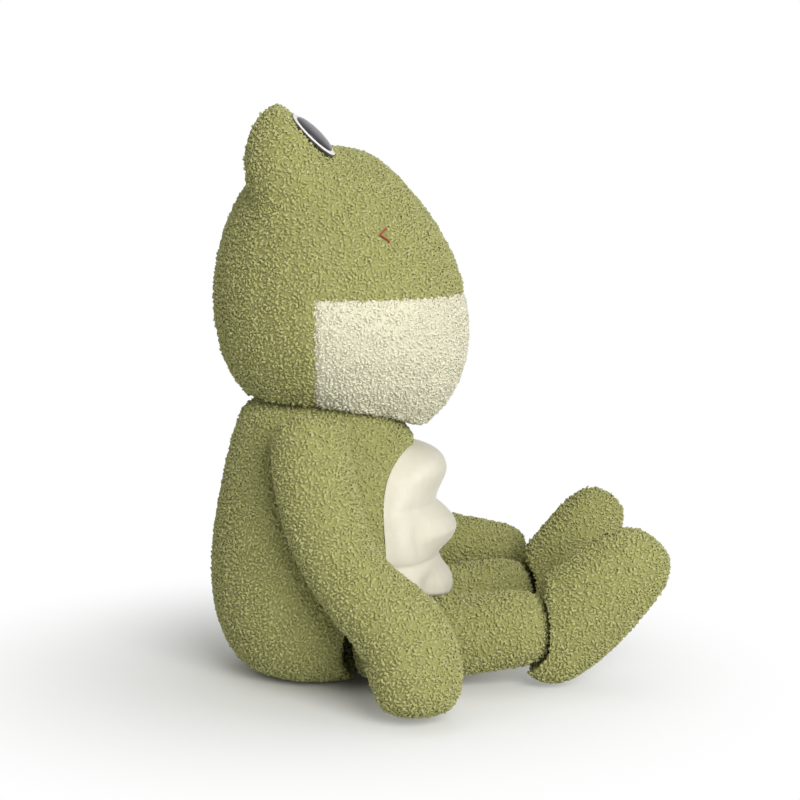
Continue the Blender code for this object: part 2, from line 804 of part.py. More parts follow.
def make_foot(parts, cutters, floor, side, word, looks):
    ankle = Vector((side * ANKLE_X, ANKLE_Y, ANKLE_Z))
    seam = pivot(f"{word}_ankle", parts, ankle)
    to_seam = Matrix.Translation(-ankle) @ foot_frame(side)

    def form(name, home, inset, look=None):
        rings = []
        shares = FOOT_SHARES[side]
        last = len(shares) - 1
        sides = LIMB_INSIDE_SIDES if inset > 0 else LIMB_SIDES
        for i, (along, thick, wide, bend) in enumerate(shares):
            shift = inset if i == 0 else -inset if i == last else 0
            centre = Vector((0, bend * FOOT_HALF_THICK, along * FOOT_LENGTH + shift))
            half_wide = wide * FOOT_HALF_WIDTH - inset
            half_thick = thick * FOOT_HALF_THICK - inset
            flat = ring(
                centre, Vector((1, 0, 0)), Vector((0, 1, 0)), half_wide, half_thick, sides
            )
            rings.append([to_seam @ point for point in flat])
        made = place(add_object(name, cage(rings), home, look), seam)
        smooth(made)
        back = box_between(
            f"{name}_back",
            cutters,
            (-CUT_ROOM, -FOOT_BACK_ROOM - inset, -CUT_ROOM),
            (CUT_ROOM, CUT_ROOM, CUT_ROOM),
        )
        back.rotation_euler.x = math.radians(FOOT_BACK_TILT_DEG)
        reach = LEG_RADIUS * LEG_END_SHARE + FIT + inset
        socket = ball(f"{name}_socket", cutters, (0, 0, 0), reach)
        cut(made, place(back, seam), place(socket, seam))
        return made

    cover = form(f"{word}_foot_cover", parts, 0, looks["green"])
    void = form(f"{word}_foot_void", cutters, COVER_WALL)
    hole = rod(f"{word}_foot_hole", cutters, (0, 0, 0), (0, -LEG_RADIUS * 1.4, 0), FOOT_HOLE_RADIUS)
    cut(cover, void, place(hole, seam), floor)
    filling = form(f"{word}_foot_filling", parts, COVER_WALL + FILLING_ROOM, looks["fibre"])
    return cover, filling


def main():
    clear_scene()
    parts = collection("plush_frog")
    cutters = collection("cutters")
    looks = {
        "green": material("Green pile", GREEN, 0.95),
        "cream": material("Cream pile", CREAM, 0.95),
        "belly": material("Cream velour", BELLY_CREAM, 0.85),
        "white": material("White felt", WHITE, 0.90),
        "navy": material("Dark pupil", NAVY, 0.30),
        "red": material("Red thread", RED, 0.70),
        "fibre": material("Fibre filling", FIBRE, 1.0),
        "bag": material("Pellet bag", BAG_GREY, 0.90),
    }
    floor = box_between(
        "floor", cutters, (-CUT_ROOM, -CUT_ROOM, -CUT_ROOM), (CUT_ROOM, CUT_ROOM, 0)
    )
    make_torso(parts, cutters, floor, looks)
    make_belly(parts, cutters, looks)
    make_head(parts, cutters, looks)
    for side, word in ((RIGHT, "right"), (LEFT, "left")):
        make_arm(parts, cutters, floor, side, word, looks)
        make_leg(parts, cutters, floor, side, word, looks)
        make_foot(parts, cutters, floor, side, word, looks)


main()
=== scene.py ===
"""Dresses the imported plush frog: stuffed skins, curled pile, velour belly, felt eyes and a stage."""

import math

import bmesh
import bpy
import numpy as np
from bpy.props import FloatProperty, FloatVectorProperty, IntProperty, PointerProperty
from mathutils import Matrix, Vector
from mathutils.bvhtree import BVHTree
from mathutils.kdtree import KDTree


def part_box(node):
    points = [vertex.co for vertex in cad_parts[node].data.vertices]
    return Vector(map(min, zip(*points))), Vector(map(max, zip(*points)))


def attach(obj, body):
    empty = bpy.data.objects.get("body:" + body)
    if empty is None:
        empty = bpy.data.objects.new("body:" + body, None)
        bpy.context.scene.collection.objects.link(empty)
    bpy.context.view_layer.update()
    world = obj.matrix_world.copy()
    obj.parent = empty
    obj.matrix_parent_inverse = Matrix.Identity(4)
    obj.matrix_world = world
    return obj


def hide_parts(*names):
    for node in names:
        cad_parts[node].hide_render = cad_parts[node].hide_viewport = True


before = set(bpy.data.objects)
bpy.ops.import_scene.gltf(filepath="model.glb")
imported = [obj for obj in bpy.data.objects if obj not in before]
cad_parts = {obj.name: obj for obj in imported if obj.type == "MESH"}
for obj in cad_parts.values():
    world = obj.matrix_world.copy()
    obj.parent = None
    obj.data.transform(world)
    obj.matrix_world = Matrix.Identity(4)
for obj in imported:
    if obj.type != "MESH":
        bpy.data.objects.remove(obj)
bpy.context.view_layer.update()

bl_info = {
    "name": "Plush frog",
    "version": (1, 0, 0),
    "blender": (4, 5, 0),
    "location": "3D View > Sidebar > Plush frog",
    "description": "Dresses the plush frog's solids in curled pile, velour and felt",
    "category": "Object",
}

MM = 0.001
WHITE = (1, 1, 1, 1)
BAKE_MAP = "OFBake"
CLOTH_FRAMES = 20

# Each stuffed skin: the body it rides on and the solids that it covers.
LIMBS = {
    "torso_skin": ("torso", ("torso_cover", "torso_filling", "pellet_bag")),
    "neck_skin": ("neck", ("neck_filling",)),
    "right_arm_skin": ("right_arm", ("right_arm_cover", "right_arm_filling")),
    "left_arm_skin": ("left_arm", ("left_arm_cover", "left_arm_filling")),
    "right_leg_skin": ("right_leg", ("right_leg_cover", "right_leg_filling")),
    "left_leg_skin": ("left_leg", ("left_leg_cover", "left_leg_filling")),
    "right_foot_skin": ("right_foot", ("right_foot_cover", "right_foot_filling")),
    "left_foot_skin": ("left_foot", ("left_foot_cover", "left_foot_filling")),
}
HEAD_SOLIDS = ("head_cover", "head_filling", "muzzle_panel")
SIDES = ("right", "left")


def linear(code):
    """An sRGB hex colour as the linear values that a shader takes."""
    levels = [int(code[i : i + 2], 16) / 255 for i in (0, 2, 4)]
    return tuple(v / 12.92 if v <= 0.04045 else ((v + 0.055) / 1.055) ** 2.4 for v in levels)


def opaque(colour):
    """A colour with full alpha."""
    return (*colour, 1)


def length(name, description, default):
    """A size in metres that a user would change."""
    return FloatProperty(
        name=name, description=description, default=default, min=0, unit="LENGTH", precision=4
    )


def angle(name, description, degrees):
    """An angle that a user would change."""
    return FloatProperty(name=name, description=description, default=math.radians(degrees), unit="ROTATION")


def number(name, description, default):
    """A plain number that a user would change."""
    return FloatProperty(name=name, description=description, default=default)


def whole(name, description, default):
    """A whole number that a user would change."""
    return IntProperty(name=name, description=description, default=default, min=0)


def colour(name, description, code):
    """A colour that a user would change."""
    return FloatVectorProperty(
        name=name, description=description, default=linear(code), size=3, min=0, max=1, subtype="COLOR"
    )


class StuffingSettings(bpy.types.PropertyGroup):
    mesh_size: length("Mesh size", "Size of a face of a stuffed skin before it is subdivided", 4.4 * MM)
    slack: length("Slack", "How far a skin starts inside the solid before it is swelled", 3.6 * MM)
    room: length("Room for pile", "How far below the solid's surface a skin stops swelling", 0.4 * MM)
    pressure: number("Pressure", "Cloth pressure that swells a skin", 4)
    chest: length("Chest", "How far the torso's skin swells forward under the chin", 8 * MM)
    chest_drop: length("Chest drop", "How far below the torso's top the chest swells most", 40 * MM)
    chest_reach: length("Chest reach", "Half the height that the chest's swelling covers", 20 * MM)
    limb_filling: whole("Joint filling", "Rounds that fill the hollows at the joints", 14)
    filling: whole("Crease filling", "Rounds that fill the creases round the eye mounds", 60)


class PileSettings(bpy.types.PropertyGroup):
    spacing: length("Curl spacing", "Least distance between the roots of two curls", 1.82 * MM)
    curl: length("Curl size", "Length that a curl's shape is scaled by", 2.75 * MM)
    cream_curl: length("Cream curl size", "Length that a cream curl's shape is scaled by", 2.2 * MM)
    yarn: length("Yarn width", "Thickness of a curl at its root", 1.8 * MM)
    lean: angle("Lean", "Most that a curl leans", 20)
    tuft: angle("Tuft", "How much the curls of a clump lean together", 130)
    root: colour("Root", "Shaded foot of the green curls", "A6A66A")
    dark: colour("Dark curls", "Tip of the darkest green curls", "BDBB82")
    light: colour("Light curls", "Tip of the lightest green curls", "DAD7AE")
    # The ground is darker than the curls: painted shade of the gaps between them.
    ground: colour("Ground", "Knitted ground that the green curls stand on", "9C9C60")
    cream_root: colour("Cream root", "Shaded foot of the cream curls", "DCD9C1")
    cream_dark: colour("Dark cream curls", "Tip of the darkest cream curls", "E0DDC6")
    cream_light: colour("Light cream curls", "Tip of the lightest cream curls", "EAE8D7")
    seed: whole("Seed", "Seed of the curls' places", 7)


class MuzzleSettings(bpy.types.PropertyGroup):
    seam_depth: length("Seam depth", "How far the seam round the muzzle is pulled in", 1.6 * MM)
    seam_width: length("Seam width", "Half the width of the dip along the seam", 3.0 * MM)
    hem: length("Hem", "Cloth turned in at the seam", 4.0 * MM)


class BellySettings(bpy.types.PropertyGroup):
    edge_angle: angle("Edge angle", "How far round the torso each side edge lies", 61)
    foot: length("Foot", "Height of the belly's lowest point, between the legs", 53 * MM)
    hips: length("Hips", "Height below which the bottom lobe stays as thick as it is there", 66 * MM)
    squareness: number("Squareness", "2 gives an oval outline and more a squarer one", 2.7)
    slack: length("Slack", "How far the belly starts inside its form", 1.0 * MM)
    filling: whole("Crease filling", "Rounds that fill the channels between lobes", 24)
    tuck: length("Tuck", "How far the edge is tucked into the torso's pile", 1.0 * MM)
    channel_depth: length("Channel depth", "How far the cloth dips between two lobes", 1.4 * MM)
    channel_width: length("Channel width", "Half the width of the dip between two lobes", 5.0 * MM)
    seam_depth: length("Seam depth", "How far the stitches pull a seam in below its channel", 1.2 * MM)
    seam_width: length("Seam width", "Half the width that the stitches pull in", 1.5 * MM)
    upper_seam: length("Upper seam", "Height of the seam under the top lobe", 122.5 * MM)
    lower_seam: length("Lower seam", "Height of the seam over the bottom lobe", 85.0 * MM)
    velour: colour("Velour", "Nap of the cream belly", "DBD7C7")
    shade: colour("Velour shade", "Darker streaks where the nap lies over", "D5D0BC")


class EyeSettings(bpy.types.PropertyGroup):
    # The dark edge round each white disc is charcoal felt standing in for the disc's shadow: painted shadow.
    rim: length("Rim", "Width of the dark edge that shows round the white felt", 0.4 * MM)
    felt: colour("Felt", "White felt disc", "F1EEE6")
    edge: colour("Edge", "Dark felt behind the white disc", "3A3836")
    pupil: colour("Pupil", "Moulded pupil", "24222B")


class NostrilSettings(bpy.types.PropertyGroup):
    ply: length("Ply width", "Thickness of one ply of the thread", 0.85 * MM)
    lift: length("Lift", "How far above the skin the thread lies, on top of the pile", 1.5 * MM)
    sunk: length("Sunk", "How far the thread's ends go in under the skin", 1.0 * MM)
    twist: length("Twist", "Length of one full turn of the thread's plies", 3.0 * MM)
    plies: whole("Plies", "Number of plies in the thread", 2)
    thread: colour("Thread", "Red-brown embroidery thread", "B4472C")
    # The thread's darker colour is painted shade, meant for where the plies meet in the grooves.
    thread_dark: colour("Thread shade", "Thread where its plies meet", "7A2B18")


class StageSettings(bpy.types.PropertyGroup):
    azimuth: angle("Azimuth", "Camera's direction round the frog", -93)
    elevation: angle("Elevation", "Camera's height angle", 7)
    distance: length("Distance", "From the camera to the point that it looks at", 1.295)
    aim_forward: length("Aim forward", "How far before the seat the point lies that it looks at", 0.046)
    aim_height: length("Aim height", "Height of the point that it looks at", 0.1917)
    lens: number("Lens", "Focal length in millimetres", 83.25)
    floor: colour("Floor", "Pale floor", "F2F2F0")


GROUPS = {
    "frog_stuffing": StuffingSettings,
    "frog_pile": PileSettings,
    "frog_muzzle": MuzzleSettings,
    "frog_belly": BellySettings,
    "frog_eye": EyeSettings,
    "frog_nostril": NostrilSettings,
    "frog_stage": StageSettings,
}


def add_node(tree, kind, inputs=None, **settings):
    """Adds a node, changes its settings, then links or fills its inputs."""
    node = tree.nodes.new(kind)
    for name, value in settings.items():
        setattr(node, name, value)
    for key, value in (inputs or {}).items():
        if isinstance(value, bpy.types.NodeSocket):
            tree.links.new(value, node.inputs[key])
        else:
            node.inputs[key].default_value = value
    return node


def math_of(tree, operation, *values, clamp=False):
    """The result of a Math node."""
    given = dict(enumerate(values))
    return add_node(tree, "ShaderNodeMath", given, operation=operation, use_clamp=clamp).outputs[0]


def scaled(tree, vector, size):
    """A vector times a number."""
    return add_node(tree, "ShaderNodeVectorMath", {0: vector, "Scale": size}, operation="SCALE").outputs[0]


def mapped(tree, value, *ends, **settings):
    """A value taken from one range to another: its two ends, then what these become if not 0 and 1."""
    given = {0: value}
    given.update(enumerate(ends, 1))
    return add_node(tree, "ShaderNodeMapRange", given, **settings).outputs[0]


def new_material(name, **values):
    """A material with an empty Principled shader, whose uniform values are set on its own sockets."""
    made = bpy.data.materials.new(name)
    made.use_nodes = True
    shader = made.node_tree.nodes["Principled BSDF"]
    for key, value in values.items():
        shader.inputs[key.replace("_", " ").title().replace("Ior", "IOR")].default_value = value
    return made, made.node_tree, shader


def blended(tree, factor, first, second):
    """The colour between two others."""
    mix = add_node(tree, "ShaderNodeMix", {0: factor, 6: first, 7: second}, data_type="RGBA")
    return mix.outputs[2]


def object_noise(tree, size, **inputs):
    """Noise on Object coordinates whose blots are about size metres across."""
    place = add_node(tree, "ShaderNodeTexCoord")
    values = {"Vector": place.outputs["Object"], "Scale": 1 / size}
    values.update(inputs)
    return add_node(tree, "ShaderNodeTexNoise", values).outputs["Fac"]


def bump(tree, shader, height, strength, depth):
    """Raises the shader's surface by a height map."""
    raised = add_node(tree, "ShaderNodeBump", {"Height": height, "Strength": strength, "Distance": depth})
    tree.links.new(raised.outputs["Normal"], shader.inputs["Normal"])


def boucle(name, root, dark, light):
    """Polyester bouclé, knitted in loops and brushed: soft, matt, lighter towards the curls' tips, their
    darker feet painted shade.
    """
    made, tree, shader = new_material(
        name, roughness=0.95, specular_ior_level=0.2, sheen_weight=0.08, sheen_roughness=0.5
    )
    place = add_node(tree, "ShaderNodeUVMap", uv_map=BAKE_MAP)
    parts = add_node(tree, "ShaderNodeSeparateXYZ", {"Vector": place.outputs["UV"]})
    # Each curl darkens towards its foot: painted shade where the curls shade one another.
    rise = mapped(tree, parts.outputs["Y"], 0.0, 0.4, interpolation_type="SMOOTHSTEP")
    tip = blended(tree, parts.outputs["X"], opaque(dark), opaque(light))
    tree.links.new(blended(tree, rise, opaque(root), tip), shader.inputs["Base Color"])
    return made


def knitted_ground(name, ground):
    """The pile's knitted ground: fine polyester jersey, matt, darker than the curls as painted shade of the
    gaps between them, in 0.9 mm stitches.
    """
    made, tree, shader = new_material(name, roughness=0.95, sheen_weight=0.1)
    blots = object_noise(tree, 6 * MM)
    darker = opaque([v * 0.72 for v in ground])
    tree.links.new(blended(tree, blots, darker, opaque(ground)), shader.inputs["Base Color"])
    place = add_node(tree, "ShaderNodeTexCoord")
    stitch = add_node(
        tree, "ShaderNodeTexVoronoi", {"Vector": place.outputs["Object"], "Scale": 1 / (0.9 * MM)}
    )
    bump(tree, shader, stitch.outputs["Distance"], 0.5, 0.4 * MM)
    return made


def velour(name, light, shade):
    """Polyester velour, cropped to about 1 mm: smooth and matt, its nap laid over in faint streaks."""
    made, tree, shader = new_material(name, roughness=0.85, sheen_weight=0.35, sheen_roughness=0.4)
    place = add_node(tree, "ShaderNodeTexCoord")
    laid = add_node(
        tree, "ShaderNodeMapping", {"Vector": place.outputs["Object"], "Scale": (1, 1, 0.4)}
    )
    streaks = object_noise(tree, 7 * MM, Vector=laid.outputs["Vector"], Detail=3.0, Roughness=0.6)
    fibres = object_noise(tree, 0.7 * MM, Detail=2.0)
    level = mapped(tree, math_of(tree, "MULTIPLY", streaks, fibres), 0.14, 0.38)
    tree.links.new(blended(tree, level, opaque(shade), opaque(light)), shader.inputs["Base Color"])
    bump(tree, shader, fibres, 0.35, 0.3 * MM)
    return made


def felt(name, tone):
    """Pressed polyester felt, die cut: matt and dense, with a tangle of fibres about 0.3 mm across."""
    made, tree, shader = new_material(name, roughness=0.95, sheen_weight=0.2)
    tangle = object_noise(tree, 0.6 * MM, Detail=4.0, Roughness=0.7, Distortion=1.5)
    darker = opaque([v * 0.8 for v in tone])
    tree.links.new(blended(tree, tangle, darker, opaque(tone)), shader.inputs["Base Color"])
    bump(tree, shader, tangle, 0.4, 0.2 * MM)
    return made


def moulded_pupil(name, tone):
    """Injection-moulded polypropylene, polished: near black, its highlight softened by fine wear, its colour
    lighter in soft blots of painted reflection.
    """
    made, tree, shader = new_material(name, ior=1.49, specular_ior_level=0.3)
    wear_and_painted_reflection = object_noise(tree, 3 * MM, Detail=5.0, Roughness=0.6)
    tree.links.new(mapped(tree, wear_and_painted_reflection, 0.3, 0.7, 0.16, 0.3), shader.inputs["Roughness"])
    # Lighter blots in the pupil's colour are painted reflection; the same noise varies its roughness.
    lighter = opaque([v * 1.8 + 0.004 for v in tone])
    tree.links.new(blended(tree, wear_and_painted_reflection, opaque(tone), lighter), shader.inputs["Base Color"])
    return made


def embroidery_thread(name, light, shade):
    """Twisted rayon embroidery thread: silky along its plies, and darker in fine random blots that are
    painted shade meant for the grooves between them.
    """
    made, tree, shader = new_material(name, roughness=0.45, sheen_weight=0.15)
    level = mapped(tree, object_noise(tree, 0.4 * MM, Detail=3.0), 0.35, 0.65)
    tree.links.new(blended(tree, level, opaque(shade), opaque(light)), shader.inputs["Base Color"])
    return made


def placed(name, mesh, material=None):
    """A new object in the scene, at the origin."""
    obj = bpy.data.objects.new(name, mesh)
    bpy.context.scene.collection.objects.link(obj)
    if material:
        mesh.materials.append(material)
    return obj


def mesh_of(work, name):
    """A bmesh as a new mesh."""
    mesh = bpy.data.meshes.new(name)
    work.to_mesh(mesh)
    work.free()
    return mesh


def join_rows(work, rows, around):
    """Faces between the rows of a closed form, outward. A row of one vertex closes it to a point."""
    for one, two in zip(rows, rows[1:]):
        for i in range(around):
            j = (i + 1) % around
            corners = [one[i % len(one)], one[j % len(one)], two[j % len(two)], two[i % len(two)]]
            work.faces.new(list(dict.fromkeys(corners)))


def applied(obj):
    """Makes obj's mesh what its modifiers give, and removes them."""
    graph = bpy.context.evaluated_depsgraph_get()
    mesh = bpy.data.meshes.new_from_object(obj.evaluated_get(graph), depsgraph=graph)
    obj.modifiers.clear()
    old, obj.data = obj.data, mesh
    mesh.name = obj.name
    bpy.data.meshes.remove(old)


def places(mesh):
    """Each vertex's place."""
    co = np.empty(len(mesh.vertices) * 3, np.float32)
    mesh.vertices.foreach_get("co", co)
    return co.reshape(-1, 3).astype(float)


def move_to(mesh, co):
    """Puts each vertex in its new place."""
    mesh.vertices.foreach_set("co", np.ascontiguousarray(co, np.float32).ravel())
    mesh.update()


def facings(mesh):
    """The way that each vertex faces."""
    out = np.empty(len(mesh.vertices) * 3, np.float32)
    mesh.vertex_normals.foreach_get("vector", out)
    return out.reshape(-1, 3).astype(float)


def links_of(mesh):
    """The two ends of each edge, and how many edges meet at each vertex."""
    ends = np.empty(len(mesh.edges) * 2, np.int32)
    mesh.edges.foreach_get("vertices", ends)
    count = np.maximum(np.bincount(ends, minlength=len(mesh.vertices)), 1)
    return ends.reshape(-1, 2), count[:, None]


def means(co, ends, count):
    """The mean place of each vertex's neighbours."""
    near = np.zeros_like(co)
    np.add.at(near, ends[:, 0], co[ends[:, 1]])
    np.add.at(near, ends[:, 1], co[ends[:, 0]])
    return near / count


def relax(mesh, rounds):
    """Evens a mesh out and swells it back a little each round, so that it hardly shrinks."""
    ends, count = links_of(mesh)
    co = places(mesh)
    for _ in range(rounds):
        for share in (0.5, -0.53):
            co += share * (means(co, ends, count) - co)
    move_to(mesh, co)


def fill_creases(mesh, rounds):
    """Moves what lies in a crease outwards, as stuffing does, and leaves what stands out where it is."""
    ends, count = links_of(mesh)
    for _ in range(rounds):
        co, out = places(mesh), facings(mesh)
        outward = np.maximum(((means(co, ends, count) - co) * out).sum(1), 0)[:, None]
        move_to(mesh, co + 0.9 * outward * out)


def surface_of(obj):
    """A tree that finds the nearest spot on obj."""
    mesh = obj.data
    return BVHTree.FromPolygons([v.co for v in mesh.vertices], [p.vertices for p in mesh.polygons])


def depths(points, surface, reach):
    """How far each point is outside a closed surface: negative inside it, and reach where it is far off."""
    out = np.full(len(points), reach)
    nearest = surface.find_nearest
    for i, point in enumerate(points):
        found, facing, _, distance = nearest(point, reach)
        if found is not None:
            away = Vector(point) - found
            out[i] = distance if away.dot(facing) >= 0 else -distance
    return out


def joined_solids(name, nodes, voxel):
    """One closed skin round the solids of several CAD nodes."""
    work = bmesh.new()
    for node in nodes:
        work.from_mesh(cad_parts[node].data)
    bmesh.ops.remove_doubles(work, verts=work.verts, dist=1e-6)
    obj = placed(name, mesh_of(work, name))
    remesh = obj.modifiers.new("Remesh", "REMESH")
    remesh.mode = "VOXEL"
    remesh.voxel_size = voxel
    applied(obj)
    keep_outer(obj.data)
    return obj


def keep_outer(mesh):
    """Removes every island but the one with the largest box."""
    work = bmesh.new()
    work.from_mesh(mesh)
    unseen = set(work.verts)
    best, widest = set(), -1
    while unseen:
        seed = unseen.pop()
        island, edge = {seed}, [seed]
        while edge:
            for link in edge.pop().link_edges:
                for vert in link.verts:
                    if vert not in island:
                        island.add(vert)
                        edge.append(vert)
        unseen -= island
        co = np.array([v.co for v in island])
        width = np.ptp(co, axis=0).sum()
        if width > widest:
            best, widest = island, width
    bmesh.ops.delete(work, geom=[v for v in work.verts if v not in best], context="VERTS")
    bmesh.ops.recalc_face_normals(work, faces=work.faces)
    work.to_mesh(mesh)
    work.free()


def stuffed(shapes, slack, room, pressure, filling=0):
    """Swells slack skins by cloth pressure inside the solids that they come from, then subdivides them."""
    shells = []
    for obj in shapes:
        relax(obj.data, 4)
        fill_creases(obj.data, filling)
        relax(obj.data, filling // 12)
        shells.append(surface_of(obj))
        move_to(obj.data, places(obj.data) - facings(obj.data) * slack)
        relax(obj.data, 2)
    before = [places(obj.data) for obj in shapes]
    after = swelled(shapes, pressure)
    for obj, shell, co in zip(shapes, shells, after):
        move_to(obj.data, co)
        co = pushed_inside(co, shell, room)
        move_to(obj.data, co)
        relax(obj.data, 1)
        finish_skin(obj)


def swelled(shapes, pressure):
    """Where each vertex gets to when cloth pressure has filled the skins."""
    scene = bpy.context.scene
    for obj in shapes:
        cloth = obj.modifiers.new("Cloth", "CLOTH")
        cloth.settings.quality = 5
        cloth.settings.mass = 0.3
        cloth.settings.tension_stiffness = 20
        cloth.settings.compression_stiffness = 12
        cloth.settings.bending_stiffness = 0.4
        cloth.settings.use_pressure = True
        cloth.settings.uniform_pressure_force = pressure
        cloth.settings.effector_weights.gravity = 0
        cloth.collision_settings.use_collision = False
        cloth.point_cache.frame_start = 1
        cloth.point_cache.frame_end = CLOTH_FRAMES
    for moment in range(1, CLOTH_FRAMES + 1):
        scene.frame_set(moment)
    graph = bpy.context.evaluated_depsgraph_get()
    after = [places(obj.evaluated_get(graph).data) for obj in shapes]
    for obj in shapes:
        obj.modifiers.clear()
    scene.frame_set(1)
    return after


def pushed_inside(co, shell, room):
    """Moves each point that isn't room inside a closed surface straight in until it is."""
    out = co.copy()
    for i, point in enumerate(co):
        found, facing, _, distance = shell.find_nearest(point)
        away = Vector(point) - found
        height = distance if away.dot(facing) >= 0 else -distance
        if height > -room:
            out[i] = found - facing * room if distance < 1e-6 else Vector(point) - facing * (height + room)
    return out


def finish_skin(obj):
    """One subdivision, smooth shading."""
    finer = obj.modifiers.new("Subdivision", "SUBSURF")
    finer.levels = finer.render_levels = 1
    applied(obj)
    obj.data.shade_smooth()


def dressed(obj, body, material=None, solids=()):
    """Gives a finished piece its finish, rides it on its body and hides the solids that it stands for."""
    if material:
        obj.data.materials.clear()
        obj.data.materials.append(material)
    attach(obj, body)
    if solids:
        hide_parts(*solids)
    return obj


class FROG_OT_skins(bpy.types.Operator):
    """Makes the stuffed skins of the torso, neck, arms, legs and feet"""

    bl_idname = "frog.skins"
    bl_label = "Stuffed skins"

    def execute(self, context):
        stuffing, pile = context.scene.frog_stuffing, context.scene.frog_pile
        ground = knitted_ground("Knitted ground, green", pile.ground)
        shapes = [joined_solids(name, nodes, stuffing.mesh_size) for name, (_, nodes) in LIMBS.items()]
        stuffed(shapes, stuffing.slack, stuffing.room, stuffing.pressure, stuffing.limb_filling)
        swell_chest(shapes[0], stuffing)
        for obj in shapes:
            body, nodes = LIMBS[obj.name]
            dressed(obj, body, ground, nodes)
        return {"FINISHED"}


def swell_chest(obj, stuffing):
    """Brings the front of the torso's skin forward just under the chin, where the stuffing is pushed up."""
    co, out = places(obj.data), facings(obj.data)
    middle = co[:, 2].max() - stuffing.chest_drop
    share = np.exp(-(((co[:, 2] - middle) / stuffing.chest_reach) ** 2)) * np.clip(-out[:, 1], 0, 1) ** 2
    co[:, 1] -= stuffing.chest * share
    move_to(obj.data, co)


class FROG_OT_head(bpy.types.Operator):
    """Makes the stuffed head and parts the cream muzzle from it along its sewn seam"""

    bl_idname = "frog.head"
    bl_label = "Head and muzzle"

    def execute(self, context):
        scene = context.scene
        stuffing, pile, seam = scene.frog_stuffing, scene.frog_pile, scene.frog_muzzle
        head = joined_solids("head_skin", HEAD_SOLIDS, stuffing.mesh_size)
        stuffed([head], stuffing.slack, stuffing.room, stuffing.pressure, stuffing.filling)
        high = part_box("muzzle_panel")[1]
        muzzle = part_along(head, "muzzle_skin", high.y, high.z)
        for obj in (head, muzzle):
            sew_edge(obj, seam)
        ground = bpy.data.materials["Knitted ground, green"]
        # The cream ground takes the cream curls' shaded foot colour: painted shade of the gaps between the
        # curls.
        cream = knitted_ground("Knitted ground, cream", pile.cream_root)
        dressed(head, "head", ground, ("head_cover", "head_filling"))
        dressed(muzzle, "head", cream, ("muzzle_panel",))
        return {"FINISHED"}


def part_along(obj, name, front_y, top_z):
    """Cuts a skin along two planes and moves what is before one and below the other into its own object."""
    work = bmesh.new()
    work.from_mesh(obj.data)
    for point, way in (((0, front_y, 0), (0, 1, 0)), ((0, 0, top_z), (0, 0, 1))):
        everything = work.verts[:] + work.edges[:] + work.faces[:]
        bmesh.ops.bisect_plane(work, geom=everything, dist=0.3 * MM, plane_co=point, plane_no=way)
    centres = [(f, f.calc_center_median()) for f in work.faces]
    taken = [f for f, centre in centres if centre.y < front_y and centre.z < top_z]
    other = work.copy()
    kept = {f.index for f in taken}
    other.faces.ensure_lookup_table()
    bmesh.ops.delete(other, geom=[f for f in other.faces if f.index not in kept], context="FACES")
    bmesh.ops.delete(work, geom=taken, context="FACES")
    mesh = bpy.data.meshes.new(name)
    for part, into in ((work, obj.data), (other, mesh)):
        part.to_mesh(into)
        part.free()
        into.shade_smooth()
    return placed(name, mesh)


def sew_edge(obj, seam):
    """Pulls a skin in along its open edge and turns a hem inwards there."""
    mesh = obj.data
    work = bmesh.new()
    work.from_mesh(mesh)
    rim = [v for v in work.verts if v.is_boundary]
    tree = KDTree(len(rim))
    for i, vert in enumerate(rim):
        tree.insert(vert.co, i)
    tree.balance()
    moves = []
    for vert in work.verts:
        distance = tree.find(vert.co)[2]
        moves.append(vert.normal * seam.seam_depth * math.exp(-((distance / seam.seam_width) ** 2)))
    loops = [edge.link_loops[0] for edge in work.edges if edge.is_boundary]
    inward = [-vert.normal * seam.hem for vert in rim]
    for vert, move in zip(work.verts, moves):
        vert.co -= move
    hem = {vert: work.verts.new(vert.co + way) for vert, way in zip(rim, inward)}
    for start, end in [(loop.vert, loop.link_loop_next.vert) for loop in loops]:
        work.faces.new((end, start, hem[start], hem[end]))
    work.to_mesh(mesh)
    work.free()
    mesh.shade_smooth()


class FROG_OT_belly(bpy.types.Operator):
    """Makes the belly's three velour lobes and the channels sewn between them"""

    bl_idname = "frog.belly"
    bl_label = "Belly"

    def execute(self, context):
        belly, stuffing = context.scene.frog_belly, context.scene.frog_stuffing
        obj = belly_form("belly_lobes", belly)
        stuffed([obj], belly.slack, 0, stuffing.pressure, belly.filling)
        co, out = places(obj.data), facings(obj.data)
        pull = np.zeros(len(co))
        dips = ((belly.channel_depth, belly.channel_width), (belly.seam_depth, belly.seam_width))
        for height in (belly.upper_seam, belly.lower_seam):
            for depth, width in dips:
                pull += depth * np.exp(-(((co[:, 2] - height) / width) ** 2))
        front = np.clip((-out[:, 1] + 0.4) / 0.8, 0, 1)
        move_to(obj.data, co - out * (pull * front)[:, None])
        cloth = velour("Cream velour", belly.velour, belly.shade)
        dressed(obj, "torso", cloth, ("belly_panel",))
        return {"FINISHED"}


# The belly panel's mesh: its rings, its spokes and the share of its width that stays flat within its edge.
BELLY_RINGS = 24
BELLY_SPOKES = 84
BELLY_FLAT = 0.82


